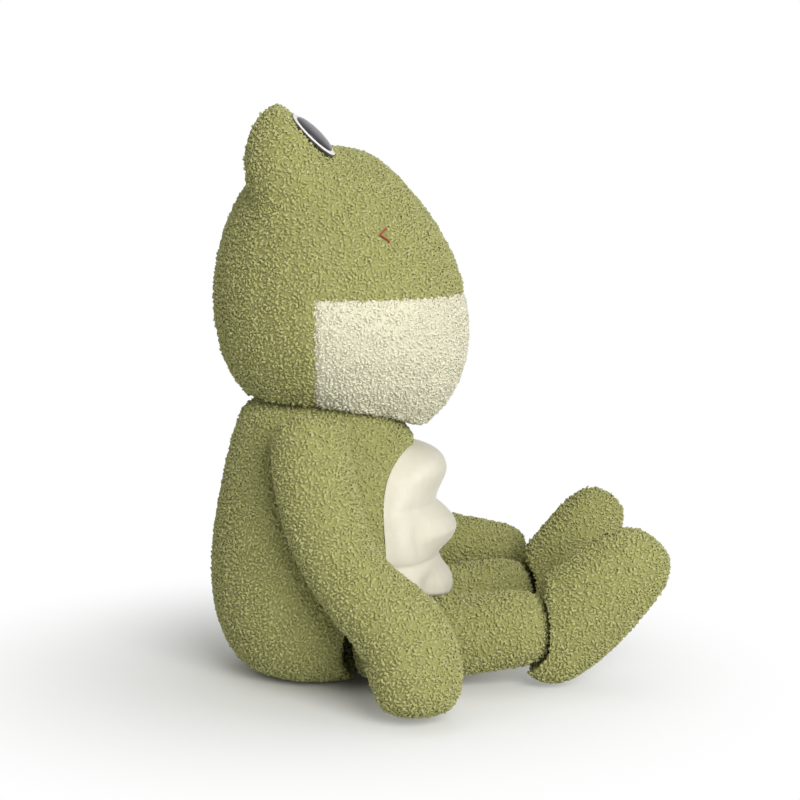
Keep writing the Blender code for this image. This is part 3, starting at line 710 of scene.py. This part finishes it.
def belly_form(name, belly):
    """A closed panel round the torso's front, as thick as the CAD belly and with a rounded edge."""
    low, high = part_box("belly_panel")
    torso_low, torso_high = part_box("torso_cover")
    axis_y = (torso_low.y + torso_high.y) / 2
    middle = (low.z + high.z) / 2
    solid = surface_of(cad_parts["belly_panel"])
    seat = surface_of(bpy.data.objects["torso_skin"])
    far = torso_high.x * 2

    def reach(surface, turn, height):
        """How far from the torso's axis a surface is, or nothing where a ray misses it."""
        way = Vector((math.sin(turn), -math.cos(turn), 0))
        axis = Vector((0, axis_y, height))
        hit = surface.ray_cast(axis + way * far, -way)[0]
        return (hit - axis).length if hit else None

    def spot(share, spoke, front):
        """A vertex of the panel's front or back, at a share of the way out along a spoke."""
        round_at = 2 * math.pi * spoke / BELLY_SPOKES
        across, up = math.cos(round_at), math.sin(round_at)
        power = belly.squareness
        scale = share / (abs(across) ** power + abs(up) ** power) ** (1 / power)
        turn = belly.edge_angle * scale * across
        height = middle + scale * up * ((high.z - middle) if up > 0 else (middle - belly.foot))
        from_axis = (reach(seat, turn, height) or 0) - belly.tuck
        if front:
            top = reach(solid, turn, max(height, belly.hips)) or from_axis
            over = min(1, max(0, (share - BELLY_FLAT) / (1 - BELLY_FLAT)))
            from_axis += math.sqrt(1 - over**2) * max(0, top - from_axis)
        else:
            from_axis -= 2 * belly.tuck
        return from_axis * math.sin(turn), axis_y - from_axis * math.cos(turn), height

    work = bmesh.new()
    layers = []
    for front in (True, False):
        rows = []
        for ring in range(BELLY_RINGS + front):
            spokes = range(BELLY_SPOKES if ring else 1)
            rows.append([work.verts.new(spot(ring / BELLY_RINGS, spoke, front)) for spoke in spokes])
        layers.append(rows)
    layers[1].append(layers[0][-1])
    for rows in layers:
        join_rows(work, rows, BELLY_SPOKES)
    bmesh.ops.recalc_face_normals(work, faces=work.faces)
    return placed(name, mesh_of(work, name))


def spun(rings, segments, matrix, name, wobble=0.0):
    """A closed lathe shape from rings of (radius, height), with a slightly uneven edge."""
    work = bmesh.new()
    rows = []
    for radius, height in rings:
        row = []
        for i in range(segments if radius else 1):
            turn = 2 * math.pi * i / segments
            far = radius * (1 + wobble * (math.sin(5 * turn + 1) + 0.6 * math.sin(11 * turn)))
            row.append(work.verts.new(matrix @ Vector((far * math.cos(turn), far * math.sin(turn), height))))
        rows.append(row)
    join_rows(work, rows, segments)
    bmesh.ops.recalc_face_normals(work, faces=work.faces)
    mesh = mesh_of(work, name)
    mesh.shade_smooth()
    return placed(name, mesh)


def disc_frame(node):
    """A frame on a flat round node's outer face, Z out of the frog, and its radius and thickness."""
    co = places(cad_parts[node].data)
    middle = (co.min(0) + co.max(0)) / 2
    _, _, axes = np.linalg.svd(co - co.mean(0), full_matrices=False)
    out = Vector(axes[2])
    if out.z < 0:
        out.negate()
    heights = (co - middle) @ np.array(out)
    across = np.linalg.norm((co - middle) - heights[:, None] * np.array(out), axis=1)
    turn = out.to_track_quat("Z", "Y").to_matrix().to_4x4()
    top = Vector(middle) + out * float(heights.max())
    return Matrix.Translation(top) @ turn, float(across.max()), float(np.ptp(heights))


# How far the domed pupil reaches past its solid, and the steps of its dome.
PUPIL_REACH = 1.07
DOME_STEPS = 12


class FROG_OT_eyes(bpy.types.Operator):
    """Makes each eye: a dark felt edge that is painted shadow round the disc, a white felt disc and a domed
    pupil
    """

    bl_idname = "frog.eyes"
    bl_label = "Eyes"

    def execute(self, context):
        eye = context.scene.frog_eye
        white = felt("Pressed felt, white", eye.felt)
        # Charcoal felt for the edge round each disc: painted shadow.
        dark = felt("Pressed felt, charcoal, painted shadow", eye.edge)
        gloss = moulded_pupil("Moulded pupil, polished", eye.pupil)
        for side in SIDES:
            place, radius, thick = disc_frame(f"{side}_eye_felt")
            pupil_radius, rise = disc_frame(f"{side}_pupil")[1:]
            reach = pupil_radius * PUPIL_REACH
            # A charcoal ring a little wider than the white disc: painted shadow round its rim.
            shadow_rings = [
                (0, -thick),
                (radius, -thick),
                (radius + eye.rim, -thick * 0.8),
                (radius + eye.rim * 1.05, -thick * 0.5),
                (radius + eye.rim * 0.8, -thick * 0.3),
                (radius * 0.95, -thick * 0.28),
                (0, -thick * 0.28),
            ]
            disc_rings = [
                (0, -thick * 0.6),
                (radius * 0.93, -thick * 0.6),
                (radius * 0.985, -thick * 0.25),
                (radius * 0.99, thick * 0.05),
                (radius * 0.965, thick * 0.22),
                (radius * 0.90, thick * 0.26),
                (reach * 0.95, thick * 0.12),
                (reach * 0.6, thick * 0.1),
                (0, thick * 0.1),
            ]
            dome = [(0, 0), (reach * 0.97, 0)]
            for step in range(DOME_STEPS):
                turn = math.pi / 2 * step / DOME_STEPS
                dome.append((reach * math.cos(turn), 0.5 * MM + rise * math.sin(turn) ** 0.9))
            dome.append((0, 0.5 * MM + rise))
            edge = spun(shadow_rings, 96, place, f"{side}_eye_painted_shadow", 0.004)
            disc = spun(disc_rings, 96, place, f"{side}_eye_disc", 0.003)
            pupil = spun(dome, 64, place, f"{side}_pupil_dome")
            dressed(edge, "head", dark)
            dressed(disc, "head", white, (f"{side}_eye_felt",))
            dressed(pupil, "head", gloss, (f"{side}_pupil",))
        return {"FINISHED"}


def new_tree(name, inputs):
    """A tree that changes geometry, with named inputs, and the sockets that give them."""
    tree = bpy.data.node_groups.new(name, "GeometryNodeTree")
    face = tree.interface
    face.new_socket("Geometry", in_out="INPUT", socket_type="NodeSocketGeometry")
    for word, kind in inputs.items():
        face.new_socket(word, in_out="INPUT", socket_type="NodeSocket" + kind)
    face.new_socket("Geometry", in_out="OUTPUT", socket_type="NodeSocketGeometry")
    return tree, add_node(tree, "NodeGroupInput").outputs


def end_tree(tree, geometry, material):
    """Gives a tree's geometry its material and puts it out."""
    last = add_node(tree, "GeometryNodeSetMaterial", {"Geometry": geometry, "Material": material})
    add_node(tree, "NodeGroupOutput", {"Geometry": last.outputs[0]})


def thread_tree():
    """Nodes that twist plies of thread round a path."""
    kinds = {"Ply width": "Float", "Twist": "Float", "Plies": "Int", "Material": "Material"}
    tree, given = new_tree("Twisted thread", kinds)
    path = add_node(tree, "GeometryNodeMeshToCurve", {0: given["Geometry"]})
    fine = add_node(
        tree, "GeometryNodeResampleCurve", {"Curve": path.outputs[0], "Length": 0.25 * MM}, mode="LENGTH"
    )
    plies = add_node(
        tree,
        "GeometryNodeDuplicateElements",
        {"Geometry": fine.outputs[0], "Amount": given["Plies"]},
        domain="SPLINE",
    )
    along = add_node(tree, "GeometryNodeSplineParameter")
    turns = math_of(tree, "DIVIDE", along.outputs["Length"], given["Twist"])
    share = math_of(tree, "DIVIDE", plies.outputs["Duplicate Index"], given["Plies"])
    turn = math_of(tree, "MULTIPLY", math_of(tree, "ADD", turns, share), 2 * math.pi)
    normal = add_node(tree, "GeometryNodeInputNormal")
    tangent = add_node(tree, "GeometryNodeInputTangent")
    turned = add_node(
        tree,
        "ShaderNodeVectorRotate",
        {"Vector": normal.outputs[0], "Axis": tangent.outputs[0], "Angle": turn},
    )
    half = math_of(tree, "MULTIPLY", given["Ply width"], 0.45)
    offset = scaled(tree, turned.outputs[0], half)
    moved = add_node(tree, "GeometryNodeSetPosition", {"Geometry": plies.outputs[0], "Offset": offset})
    round_ply = add_node(tree, "GeometryNodeCurvePrimitiveCircle", {"Resolution": 7, "Radius": half})
    tube = add_node(
        tree,
        "GeometryNodeCurveToMesh",
        {"Curve": moved.outputs[0], "Profile Curve": round_ply.outputs[0], "Fill Caps": True},
    )
    soft = add_node(tree, "GeometryNodeSetShadeSmooth", {"Geometry": tube.outputs[0]})
    real = add_node(tree, "GeometryNodeRealizeInstances", {"Geometry": soft.outputs[0]})
    end_tree(tree, real.outputs[0], given["Material"])
    return tree


def run_tree(obj, tree, **values):
    """Gives obj the mesh that a node tree makes of it, as a new plain mesh."""
    nodes = obj.modifiers.new(tree.name, "NODES")
    nodes.node_group = tree
    sockets = {s.name: s.identifier for s in tree.interface.items_tree if s.in_out == "INPUT"}
    for name, value in values.items():
        nodes[sockets[name.replace("_", " ").capitalize()]] = value
    graph = bpy.context.evaluated_depsgraph_get()
    mesh = bpy.data.meshes.new_from_object(obj.evaluated_get(graph), depsgraph=graph)
    obj.modifiers.remove(nodes)
    return mesh


# How many straight steps each leg of a V stitch takes over the round of the head.
STITCH_STEPS = 4


def stitch_path(node):
    """The two ends and the corner of a V stitch, in the order that the thread runs."""
    co = places(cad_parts[node].data)
    upper = co[co[:, 2] > co[:, 2].max() - 1.2 * MM].mean(0)
    lower = co[co[:, 2] < co[:, 2].min() + 1.2 * MM].mean(0)
    rear = co[co[:, 1] > co[:, 1].max() - 0.9 * MM].mean(0)
    return [upper, rear, lower]


def sewn_path(points, skin, lift, sunk):
    """The path of a thread that lies on the pile and goes in through the skin at its ends."""
    spots = []
    for one, two in zip(points, points[1:]):
        spots.extend(one + (two - one) * step / STITCH_STEPS for step in range(STITCH_STEPS))
    spots.append(points[-1])
    touched = [skin.find_nearest(Vector(spot))[:2] for spot in spots]
    path = [near + facing * lift for near, facing in touched]
    start, end = (near - facing * sunk for near, facing in (touched[0], touched[-1]))
    return [start, *path, end]


class FROG_OT_nostrils(bpy.types.Operator):
    """Makes the two nostrils, each a V of twisted thread sewn through the pile"""

    bl_idname = "frog.nostrils"
    bl_label = "Nostrils"

    def execute(self, context):
        nostril = context.scene.frog_nostril
        silk = embroidery_thread("Embroidery thread, red-brown", nostril.thread, nostril.thread_dark)
        tree = thread_tree()
        skin = surface_of(bpy.data.objects["head_skin"])
        for side in SIDES:
            points = sewn_path(stitch_path(f"{side}_nostril_stitch"), skin, nostril.lift, nostril.sunk)
            path = bpy.data.meshes.new("path")
            path.from_pydata([tuple(p) for p in points], [(i, i + 1) for i in range(len(points) - 1)], [])
            guide = placed("path", path)
            mesh = run_tree(
                guide, tree, ply_width=nostril.ply, twist=nostril.twist, plies=nostril.plies, material=silk
            )
            bpy.data.objects.remove(guide)
            stitch = placed(f"{side}_nostril_thread", mesh)
            dressed(stitch, "head", silk, (f"{side}_nostril_stitch",))
        return {"FINISHED"}


# Four shapes of curl, each the start, two handles and end of a curve, in shares of the curl size. The first
# two are loops with both ends in the ground and the others have one end free.
CURLS = (
    ((-0.42, 0.00, -0.20), (-0.62, 0.25, 0.64), (0.62, -0.20, 0.64), (0.42, 0.05, -0.15)),
    ((-0.34, -0.10, -0.20), (-0.50, 0.50, 0.56), (0.45, 0.55, 0.55), (0.36, -0.20, -0.10)),
    ((0.00, 0.10, -0.20), (0.10, 0.45, 0.64), (-0.80, 0.10, 0.66), (-0.55, -0.35, 0.15)),
    ((0.10, -0.10, -0.20), (0.50, -0.20, 0.56), (-0.40, -0.75, 0.64), (0.30, -0.55, 0.25)),
)


def stored(tree, geometry, name, value, kind="FLOAT", domain="POINT"):
    """Geometry that carries a value under a name."""
    return add_node(
        tree,
        "GeometryNodeStoreNamedAttribute",
        {"Geometry": geometry, "Name": name, "Value": value},
        data_type=kind,
        domain=domain,
    ).outputs[0]


def named(tree, name, kind="FLOAT"):
    """The value that geometry carries under a name."""
    return add_node(tree, "GeometryNodeInputNamedAttribute", {"Name": name}, data_type=kind).outputs[0]


def chance(tree, low, high, seed):
    """A number between two others for each root."""
    given = {2: low, 3: high, "Seed": seed}
    return add_node(tree, "FunctionNodeRandomValue", given, data_type="FLOAT").outputs[1]


def rotated(tree, rotation, angles):
    """A rotation turned further, in its own frame, by three angles."""
    spin = add_node(tree, "FunctionNodeEulerToRotation", {0: angles})
    both = {0: rotation, 1: spin.outputs[0]}
    return add_node(tree, "FunctionNodeRotateRotation", both, rotation_space="LOCAL").outputs[0]


def curl_shape(tree, shares, given):
    """One curl: a bent, tapered, three-sided yarn that carries how far round and how high it is."""
    points = {"Resolution": 3}
    for name, share in zip(("Start", "Start Handle", "End Handle", "End"), shares):
        points[name] = scaled(tree, share, given["Curl"])
    curve = add_node(tree, "GeometryNodeCurvePrimitiveBezierSegment", points)
    spot = add_node(tree, "GeometryNodeInputPosition")
    parts = add_node(tree, "ShaderNodeSeparateXYZ", {0: spot.outputs[0]})
    rise = math_of(tree, "DIVIDE", parts.outputs["Z"], given["Curl"], clamp=True)
    along = add_node(tree, "GeometryNodeSplineParameter")
    taper = mapped(tree, along.outputs["Factor"], 0.0, 1.0, 1.0, 0.75)
    side = add_node(tree, "GeometryNodeCurvePrimitiveCircle", {"Resolution": 3, "Radius": 0.5})
    round_at = add_node(tree, "GeometryNodeSplineParameter")
    tube = add_node(
        tree,
        "GeometryNodeCurveToMesh",
        {
            "Curve": stored(tree, curve.outputs[0], "rise", rise),
            "Profile Curve": stored(tree, side.outputs[0], "round", round_at.outputs["Factor"]),
            "Scale": math_of(tree, "MULTIPLY", taper, given["Yarn"]),
            "Fill Caps": True,
        },
    )
    soft = add_node(tree, "GeometryNodeSetShadeSmooth", {"Geometry": tube.outputs[0]})
    return add_node(tree, "GeometryNodeGeometryToInstance", {"Geometry": soft.outputs[0]}).outputs[0]


def pile_tree():
    """Nodes that grow curls of yarn on a skin, as high as its pile attribute lets them, above the floor."""
    kinds = dict.fromkeys(("Spacing", "Curl", "Yarn", "Lean", "Tuft"), "Float")
    tree, given = new_tree("Curled pile", kinds | {"Patch": "Int", "Seed": "Int", "Material": "Material"})

    # Roots, evenly apart, only where the pile has room and only on the asked patch.
    pile = named(tree, "pile")
    here = add_node(
        tree,
        "FunctionNodeCompare",
        {2: named(tree, "patch", "INT"), 3: given["Patch"]},
        data_type="INT",
        operation="EQUAL",
    )
    density = math_of(tree, "DIVIDE", 3.0, math_of(tree, "MULTIPLY", given["Spacing"], given["Spacing"]))
    spots = add_node(
        tree,
        "GeometryNodeDistributePointsOnFaces",
        {
            "Mesh": given["Geometry"],
            "Selection": here.outputs[0],
            "Distance Min": given["Spacing"],
            "Density Max": density,
            "Seed": given["Seed"],
        },
        distribute_method="POISSON",
    )
    room = add_node(tree, "FunctionNodeCompare", {0: pile, 1: 0.22}, operation="GREATER_THAN")

    # Tint: half by chance, half in blots a few curls across.
    place = add_node(tree, "GeometryNodeInputPosition").outputs[0]
    blots = add_node(tree, "ShaderNodeTexNoise", {"Vector": place, "Scale": 1 / (9 * MM), "Detail": 2.0})
    level = mapped(tree, blots.outputs["Fac"], 0.3, 0.7)
    tint = math_of(tree, "MULTIPLY", math_of(tree, "ADD", chance(tree, 0.0, 1.0, 11), level), 0.5)

    # Placing: the curls of one clump lean one way, each turned at random and leaning a little on its own.
    clumps = add_node(tree, "ShaderNodeTexNoise", {"Vector": place, "Scale": 1 / (8 * MM), "Detail": 1.0})
    swing = add_node(
        tree, "ShaderNodeVectorMath", {0: clumps.outputs["Color"], 1: (0.5, 0.5, 0.5)}, operation="SUBTRACT"
    )
    leant = rotated(tree, spots.outputs["Rotation"], scaled(tree, swing.outputs[0], given["Tuft"]))
    own = add_node(
        tree,
        "ShaderNodeCombineXYZ",
        {
            0: math_of(tree, "MULTIPLY", chance(tree, -1.0, 1.0, 21), given["Lean"]),
            1: math_of(tree, "MULTIPLY", chance(tree, -1.0, 1.0, 22), given["Lean"]),
            2: chance(tree, 0.0, 2 * math.pi, 23),
        },
    )
    wide = chance(tree, 0.75, 1.25, 24)
    tall = math_of(tree, "MULTIPLY", wide, pile)
    size = add_node(tree, "ShaderNodeCombineXYZ", {0: wide, 1: wide, 2: tall})
    which = add_node(tree, "FunctionNodeRandomValue", {4: 0, 5: len(CURLS) - 1, "Seed": 25}, data_type="INT")
    variants = add_node(tree, "GeometryNodeJoinGeometry")
    for shares in CURLS:
        tree.links.new(curl_shape(tree, shares, given), variants.inputs[0])
    grown = add_node(
        tree,
        "GeometryNodeInstanceOnPoints",
        {
            "Points": stored(tree, spots.outputs["Points"], "tint", tint),
            "Selection": room.outputs[0],
            "Instance": variants.outputs[0],
            "Pick Instance": True,
            "Instance Index": which.outputs[2],
            "Rotation": rotated(tree, leant, own.outputs[0]),
            "Scale": size.outputs[0],
        },
    )
    real = add_node(tree, "GeometryNodeRealizeInstances", {"Geometry": grown.outputs[0]})

    # What would reach below the floor is pressed flat on it.
    at = add_node(tree, "GeometryNodeInputPosition")
    axes = add_node(tree, "ShaderNodeSeparateXYZ", {0: at.outputs[0]}).outputs
    above = math_of(tree, "MAXIMUM", axes["Z"], 0.0)
    pressed = add_node(tree, "ShaderNodeCombineXYZ", {0: axes["X"], 1: axes["Y"], 2: above})
    flat = add_node(
        tree, "GeometryNodeSetPosition", {"Geometry": real.outputs[0], "Position": pressed.outputs[0]}
    )

    # The map: across by tint and a little round the yarn, up from root to tip.
    start = math_of(tree, "MULTIPLY", named(tree, "tint"), 0.94)
    across = math_of(tree, "ADD", start, math_of(tree, "MULTIPLY", named(tree, "round"), 0.06))
    spot = add_node(tree, "ShaderNodeCombineXYZ", {0: across, 1: named(tree, "rise")})
    chart = stored(tree, flat.outputs[0], BAKE_MAP, spot.outputs[0], "FLOAT2", "CORNER")
    end_tree(tree, chart, given["Material"])
    return tree


# How much room the pile wants: over the floor, how far it presses into a neighbour, and the fall to a trim.
FLOOR_ROOM = 0.3 * MM
PRESSED = 1.0 * MM
TRIM_FALL = 1.5 * MM


def mark_room(obj, neighbours, trims, height, split):
    """Stores the share of its height that the pile may have at each vertex, and each face's patch."""
    mesh = obj.data
    co = places(mesh)
    free = np.clip((co[:, 2] - FLOOR_ROOM) / height, 0, 1)
    for surface in neighbours:
        gap = depths(co, surface, 2 * height)
        free = np.minimum(free, np.clip((gap + PRESSED) / (1.1 * height), 0, 1))
    for surface, clear in trims:
        gap = depths(co, surface, clear + 2 * MM)
        free = np.minimum(free, np.clip((gap - clear) / TRIM_FALL, 0, 1))
    pile = mesh.attributes.new("pile", "FLOAT", "POINT")
    pile.data.foreach_set("value", free.astype(np.float32))
    centres = np.empty(len(mesh.polygons) * 3, np.float32)
    mesh.polygons.foreach_get("center", centres)
    side = (centres[::3] > 0) & split
    patch = mesh.attributes.new("patch", "INT", "FACE")
    patch.data.foreach_set("value", side.astype(np.int32))


# What the pile is trimmed round, and how far off it stays. Less than nothing lets it lie on an edge.
TRIMS = {
    "belly_lobes": 0.2 * MM,
    "right_eye_painted_shadow": -1.2 * MM,
    "left_eye_painted_shadow": -1.2 * MM,
    "right_nostril_thread": 0.7 * MM,
    "left_nostril_thread": 0.7 * MM,
}


class FROG_OT_pile(bpy.types.Operator):
    """Grows the curled pile on every skin but the neck's, shorter where another part lies close"""

    bl_idname = "frog.pile"
    bl_label = "Curled pile"

    def execute(self, context):
        pile = context.scene.frog_pile
        green = boucle("Polyester bouclé, green", pile.root, pile.dark, pile.light)
        cream = boucle("Polyester bouclé, cream", pile.cream_root, pile.cream_dark, pile.cream_light)
        tree = pile_tree()
        bodies = {name: body for name, (body, _) in LIMBS.items()}
        bodies.update(head_skin="head", muzzle_skin="head")
        surfaces = {name: surface_of(bpy.data.objects[name]) for name in bodies}
        trims = {name: (surface_of(bpy.data.objects[name]), clear) for name, clear in TRIMS.items()}
        on_belly = [trims.pop("belly_lobes")]
        for place, (name, body) in enumerate(bodies.items()):
            if body == "neck":
                continue
            skin = bpy.data.objects[name]
            near = [surfaces[other] for other, rides in bodies.items() if rides != body]
            split = name in ("head_skin", "torso_skin")
            by = trims.values() if name == "head_skin" else on_belly
            mark_room(skin, near, by, pile.curl * 0.8, split)
            is_cream = name == "muzzle_skin"
            for patch, word in enumerate(("_right", "_left") if split else ("",)):
                mesh = run_tree(
                    skin,
                    tree,
                    spacing=pile.spacing,
                    curl=pile.cream_curl if is_cream else pile.curl,
                    yarn=pile.yarn,
                    lean=pile.lean,
                    tuft=pile.tuft,
                    patch=patch,
                    seed=pile.seed + place,
                    material=cream if is_cream else green,
                )
                for spare in ("tint", "round", "rise", "pile", "patch"):
                    if spare in mesh.attributes:
                        mesh.attributes.remove(mesh.attributes[spare])
                grown = placed(name.replace("_skin", "_pile") + word, mesh)
                dressed(grown, body)
        return {"FINISHED"}


class FROG_OT_stage(bpy.types.Operator):
    """Makes the floor, the soft light and the camera at the photograph's angle"""

    bl_idname = "frog.stage"
    bl_label = "Stage"

    def execute(self, context):
        stage = context.scene.frog_stage
        make_floor(stage)
        make_world(context.scene)
        make_lamps()
        make_camera(context.scene, stage)
        context.scene.view_settings.view_transform = "Standard"
        return {"FINISHED"}


def background_ray(tree):
    """1 where a ray from the camera, or through a glossy or clear surface, sees the backdrop itself."""
    path = add_node(tree, "ShaderNodeLightPath").outputs
    straight = math_of(tree, "ADD", path["Is Camera Ray"], path["Is Glossy Ray"], clamp=True)
    return math_of(tree, "ADD", straight, path["Is Transmission Ray"], clamp=True)


def make_floor(stage):
    """A wide pale floor, just under the frog, that fades into the white backdrop away from it."""
    work = bmesh.new()
    under = Matrix.Translation((0, 0, -0.1 * MM))
    bmesh.ops.create_circle(work, cap_ends=True, segments=96, radius=6, matrix=under)
    made, tree, shader = new_material("Painted floor, matt white", roughness=0.9, specular_ior_level=0.1)
    shader.inputs["Base Color"].default_value = opaque(stage.floor)
    place = add_node(tree, "ShaderNodeTexCoord")
    away = add_node(tree, "ShaderNodeVectorMath", {0: place.outputs["Object"]}, operation="LENGTH")
    fade = mapped(tree, away.outputs["Value"], 0.05, 0.34, interpolation_type="SMOOTHSTEP")
    seen = math_of(tree, "MULTIPLY", fade, background_ray(tree))
    glow = add_node(tree, "ShaderNodeEmission", {"Color": WHITE, "Strength": 1.0})
    both = add_node(tree, "ShaderNodeMixShader", {0: seen, 1: shader.outputs[0], 2: glow.outputs[0]})
    tree.links.new(both.outputs[0], tree.nodes["Material Output"].inputs["Surface"])
    placed("floor", mesh_of(work, "floor"), made)


def make_world(scene):
    """A plain studio: an even pale light all round, seen as white."""
    world = bpy.data.worlds.new("Studio")
    world.use_nodes = True
    tree = world.node_tree
    plain = tree.nodes["Background"]
    plain.inputs["Color"].default_value = WHITE
    plain.inputs["Strength"].default_value = 0.35
    white = add_node(tree, "ShaderNodeBackground", {"Color": WHITE, "Strength": 1.0})
    both = add_node(
        tree, "ShaderNodeMixShader", {0: background_ray(tree), 1: plain.outputs[0], 2: white.outputs[0]}
    )
    tree.links.new(both.outputs[0], tree.nodes["World Output"].inputs["Surface"])
    scene.world = world


def make_lamps():
    """Three soft lamps: a key before the frog's near side, a fill behind it and a top light."""
    for name, place, aim, width, power in (
        ("key", (-1.7, -0.6, 0.9), (0, 0, 0.2), 1.0, 34),
        ("fill", (-1.0, 1.3, 0.9), (0, -0.05, 0.18), 1.4, 2),
        ("top", (0.2, 0.0, 1.9), (0, 0, 0.2), 1.4, 4),
    ):
        lamp = bpy.data.lights.new(name, "AREA")
        lamp.size = width
        lamp.energy = power
        obj = bpy.data.objects.new(name, lamp)
        bpy.context.scene.collection.objects.link(obj)
        obj.location = place
        obj.rotation_euler = (Vector(place) - Vector(aim)).to_track_quat("Z", "Y").to_euler()


def make_camera(scene, stage):
    """The camera at the photograph's angle."""
    azimuth, elevation = stage.azimuth, stage.elevation
    level = math.cos(elevation)
    back = Vector((math.sin(azimuth) * level, -math.cos(azimuth) * level, math.sin(elevation)))
    camera = bpy.data.cameras.new("camera")
    camera.sensor_width = 36
    camera.lens = stage.lens
    obj = bpy.data.objects.new("camera", camera)
    scene.collection.objects.link(obj)
    obj.location = Vector((0, -stage.aim_forward, stage.aim_height)) + back * stage.distance
    obj.rotation_euler = back.to_track_quat("Z", "Y").to_euler()
    scene.camera = obj


OPERATORS = (
    FROG_OT_skins,
    FROG_OT_head,
    FROG_OT_belly,
    FROG_OT_eyes,
    FROG_OT_nostrils,
    FROG_OT_pile,
    FROG_OT_stage,
)


class FROG_PT_panel(bpy.types.Panel):
    """Lists the frog's pieces and their settings"""

    bl_idname = "FROG_PT_panel"
    bl_label = "Plush frog"
    bl_space_type = "VIEW_3D"
    bl_region_type = "UI"
    bl_category = "Plush frog"

    def draw(self, context):
        for operator in OPERATORS:
            self.layout.operator(operator.bl_idname)
        for group, kind in GROUPS.items():
            box = self.layout.box()
            box.label(text=kind.__name__.replace("Settings", ""))
            for name in kind.__annotations__:
                box.prop(getattr(context.scene, group), name)


CLASSES = (*GROUPS.values(), *OPERATORS, FROG_PT_panel)


def register():
    """Adds the frog's classes, and its settings to the scene."""
    for kind in CLASSES:
        bpy.utils.register_class(kind)
    for name, kind in GROUPS.items():
        setattr(bpy.types.Scene, name, PointerProperty(type=kind))


def unregister():
    """Takes away what register adds."""
    for name in GROUPS:
        delattr(bpy.types.Scene, name)
    for kind in reversed(CLASSES):
        bpy.utils.unregister_class(kind)


def main():
    """Makes every piece and the stage."""
    register()
    for operator in OPERATORS:
        group, name = operator.bl_idname.split(".")
        getattr(getattr(bpy.ops, group), name)()


if __name__ == "__main__":
    main()
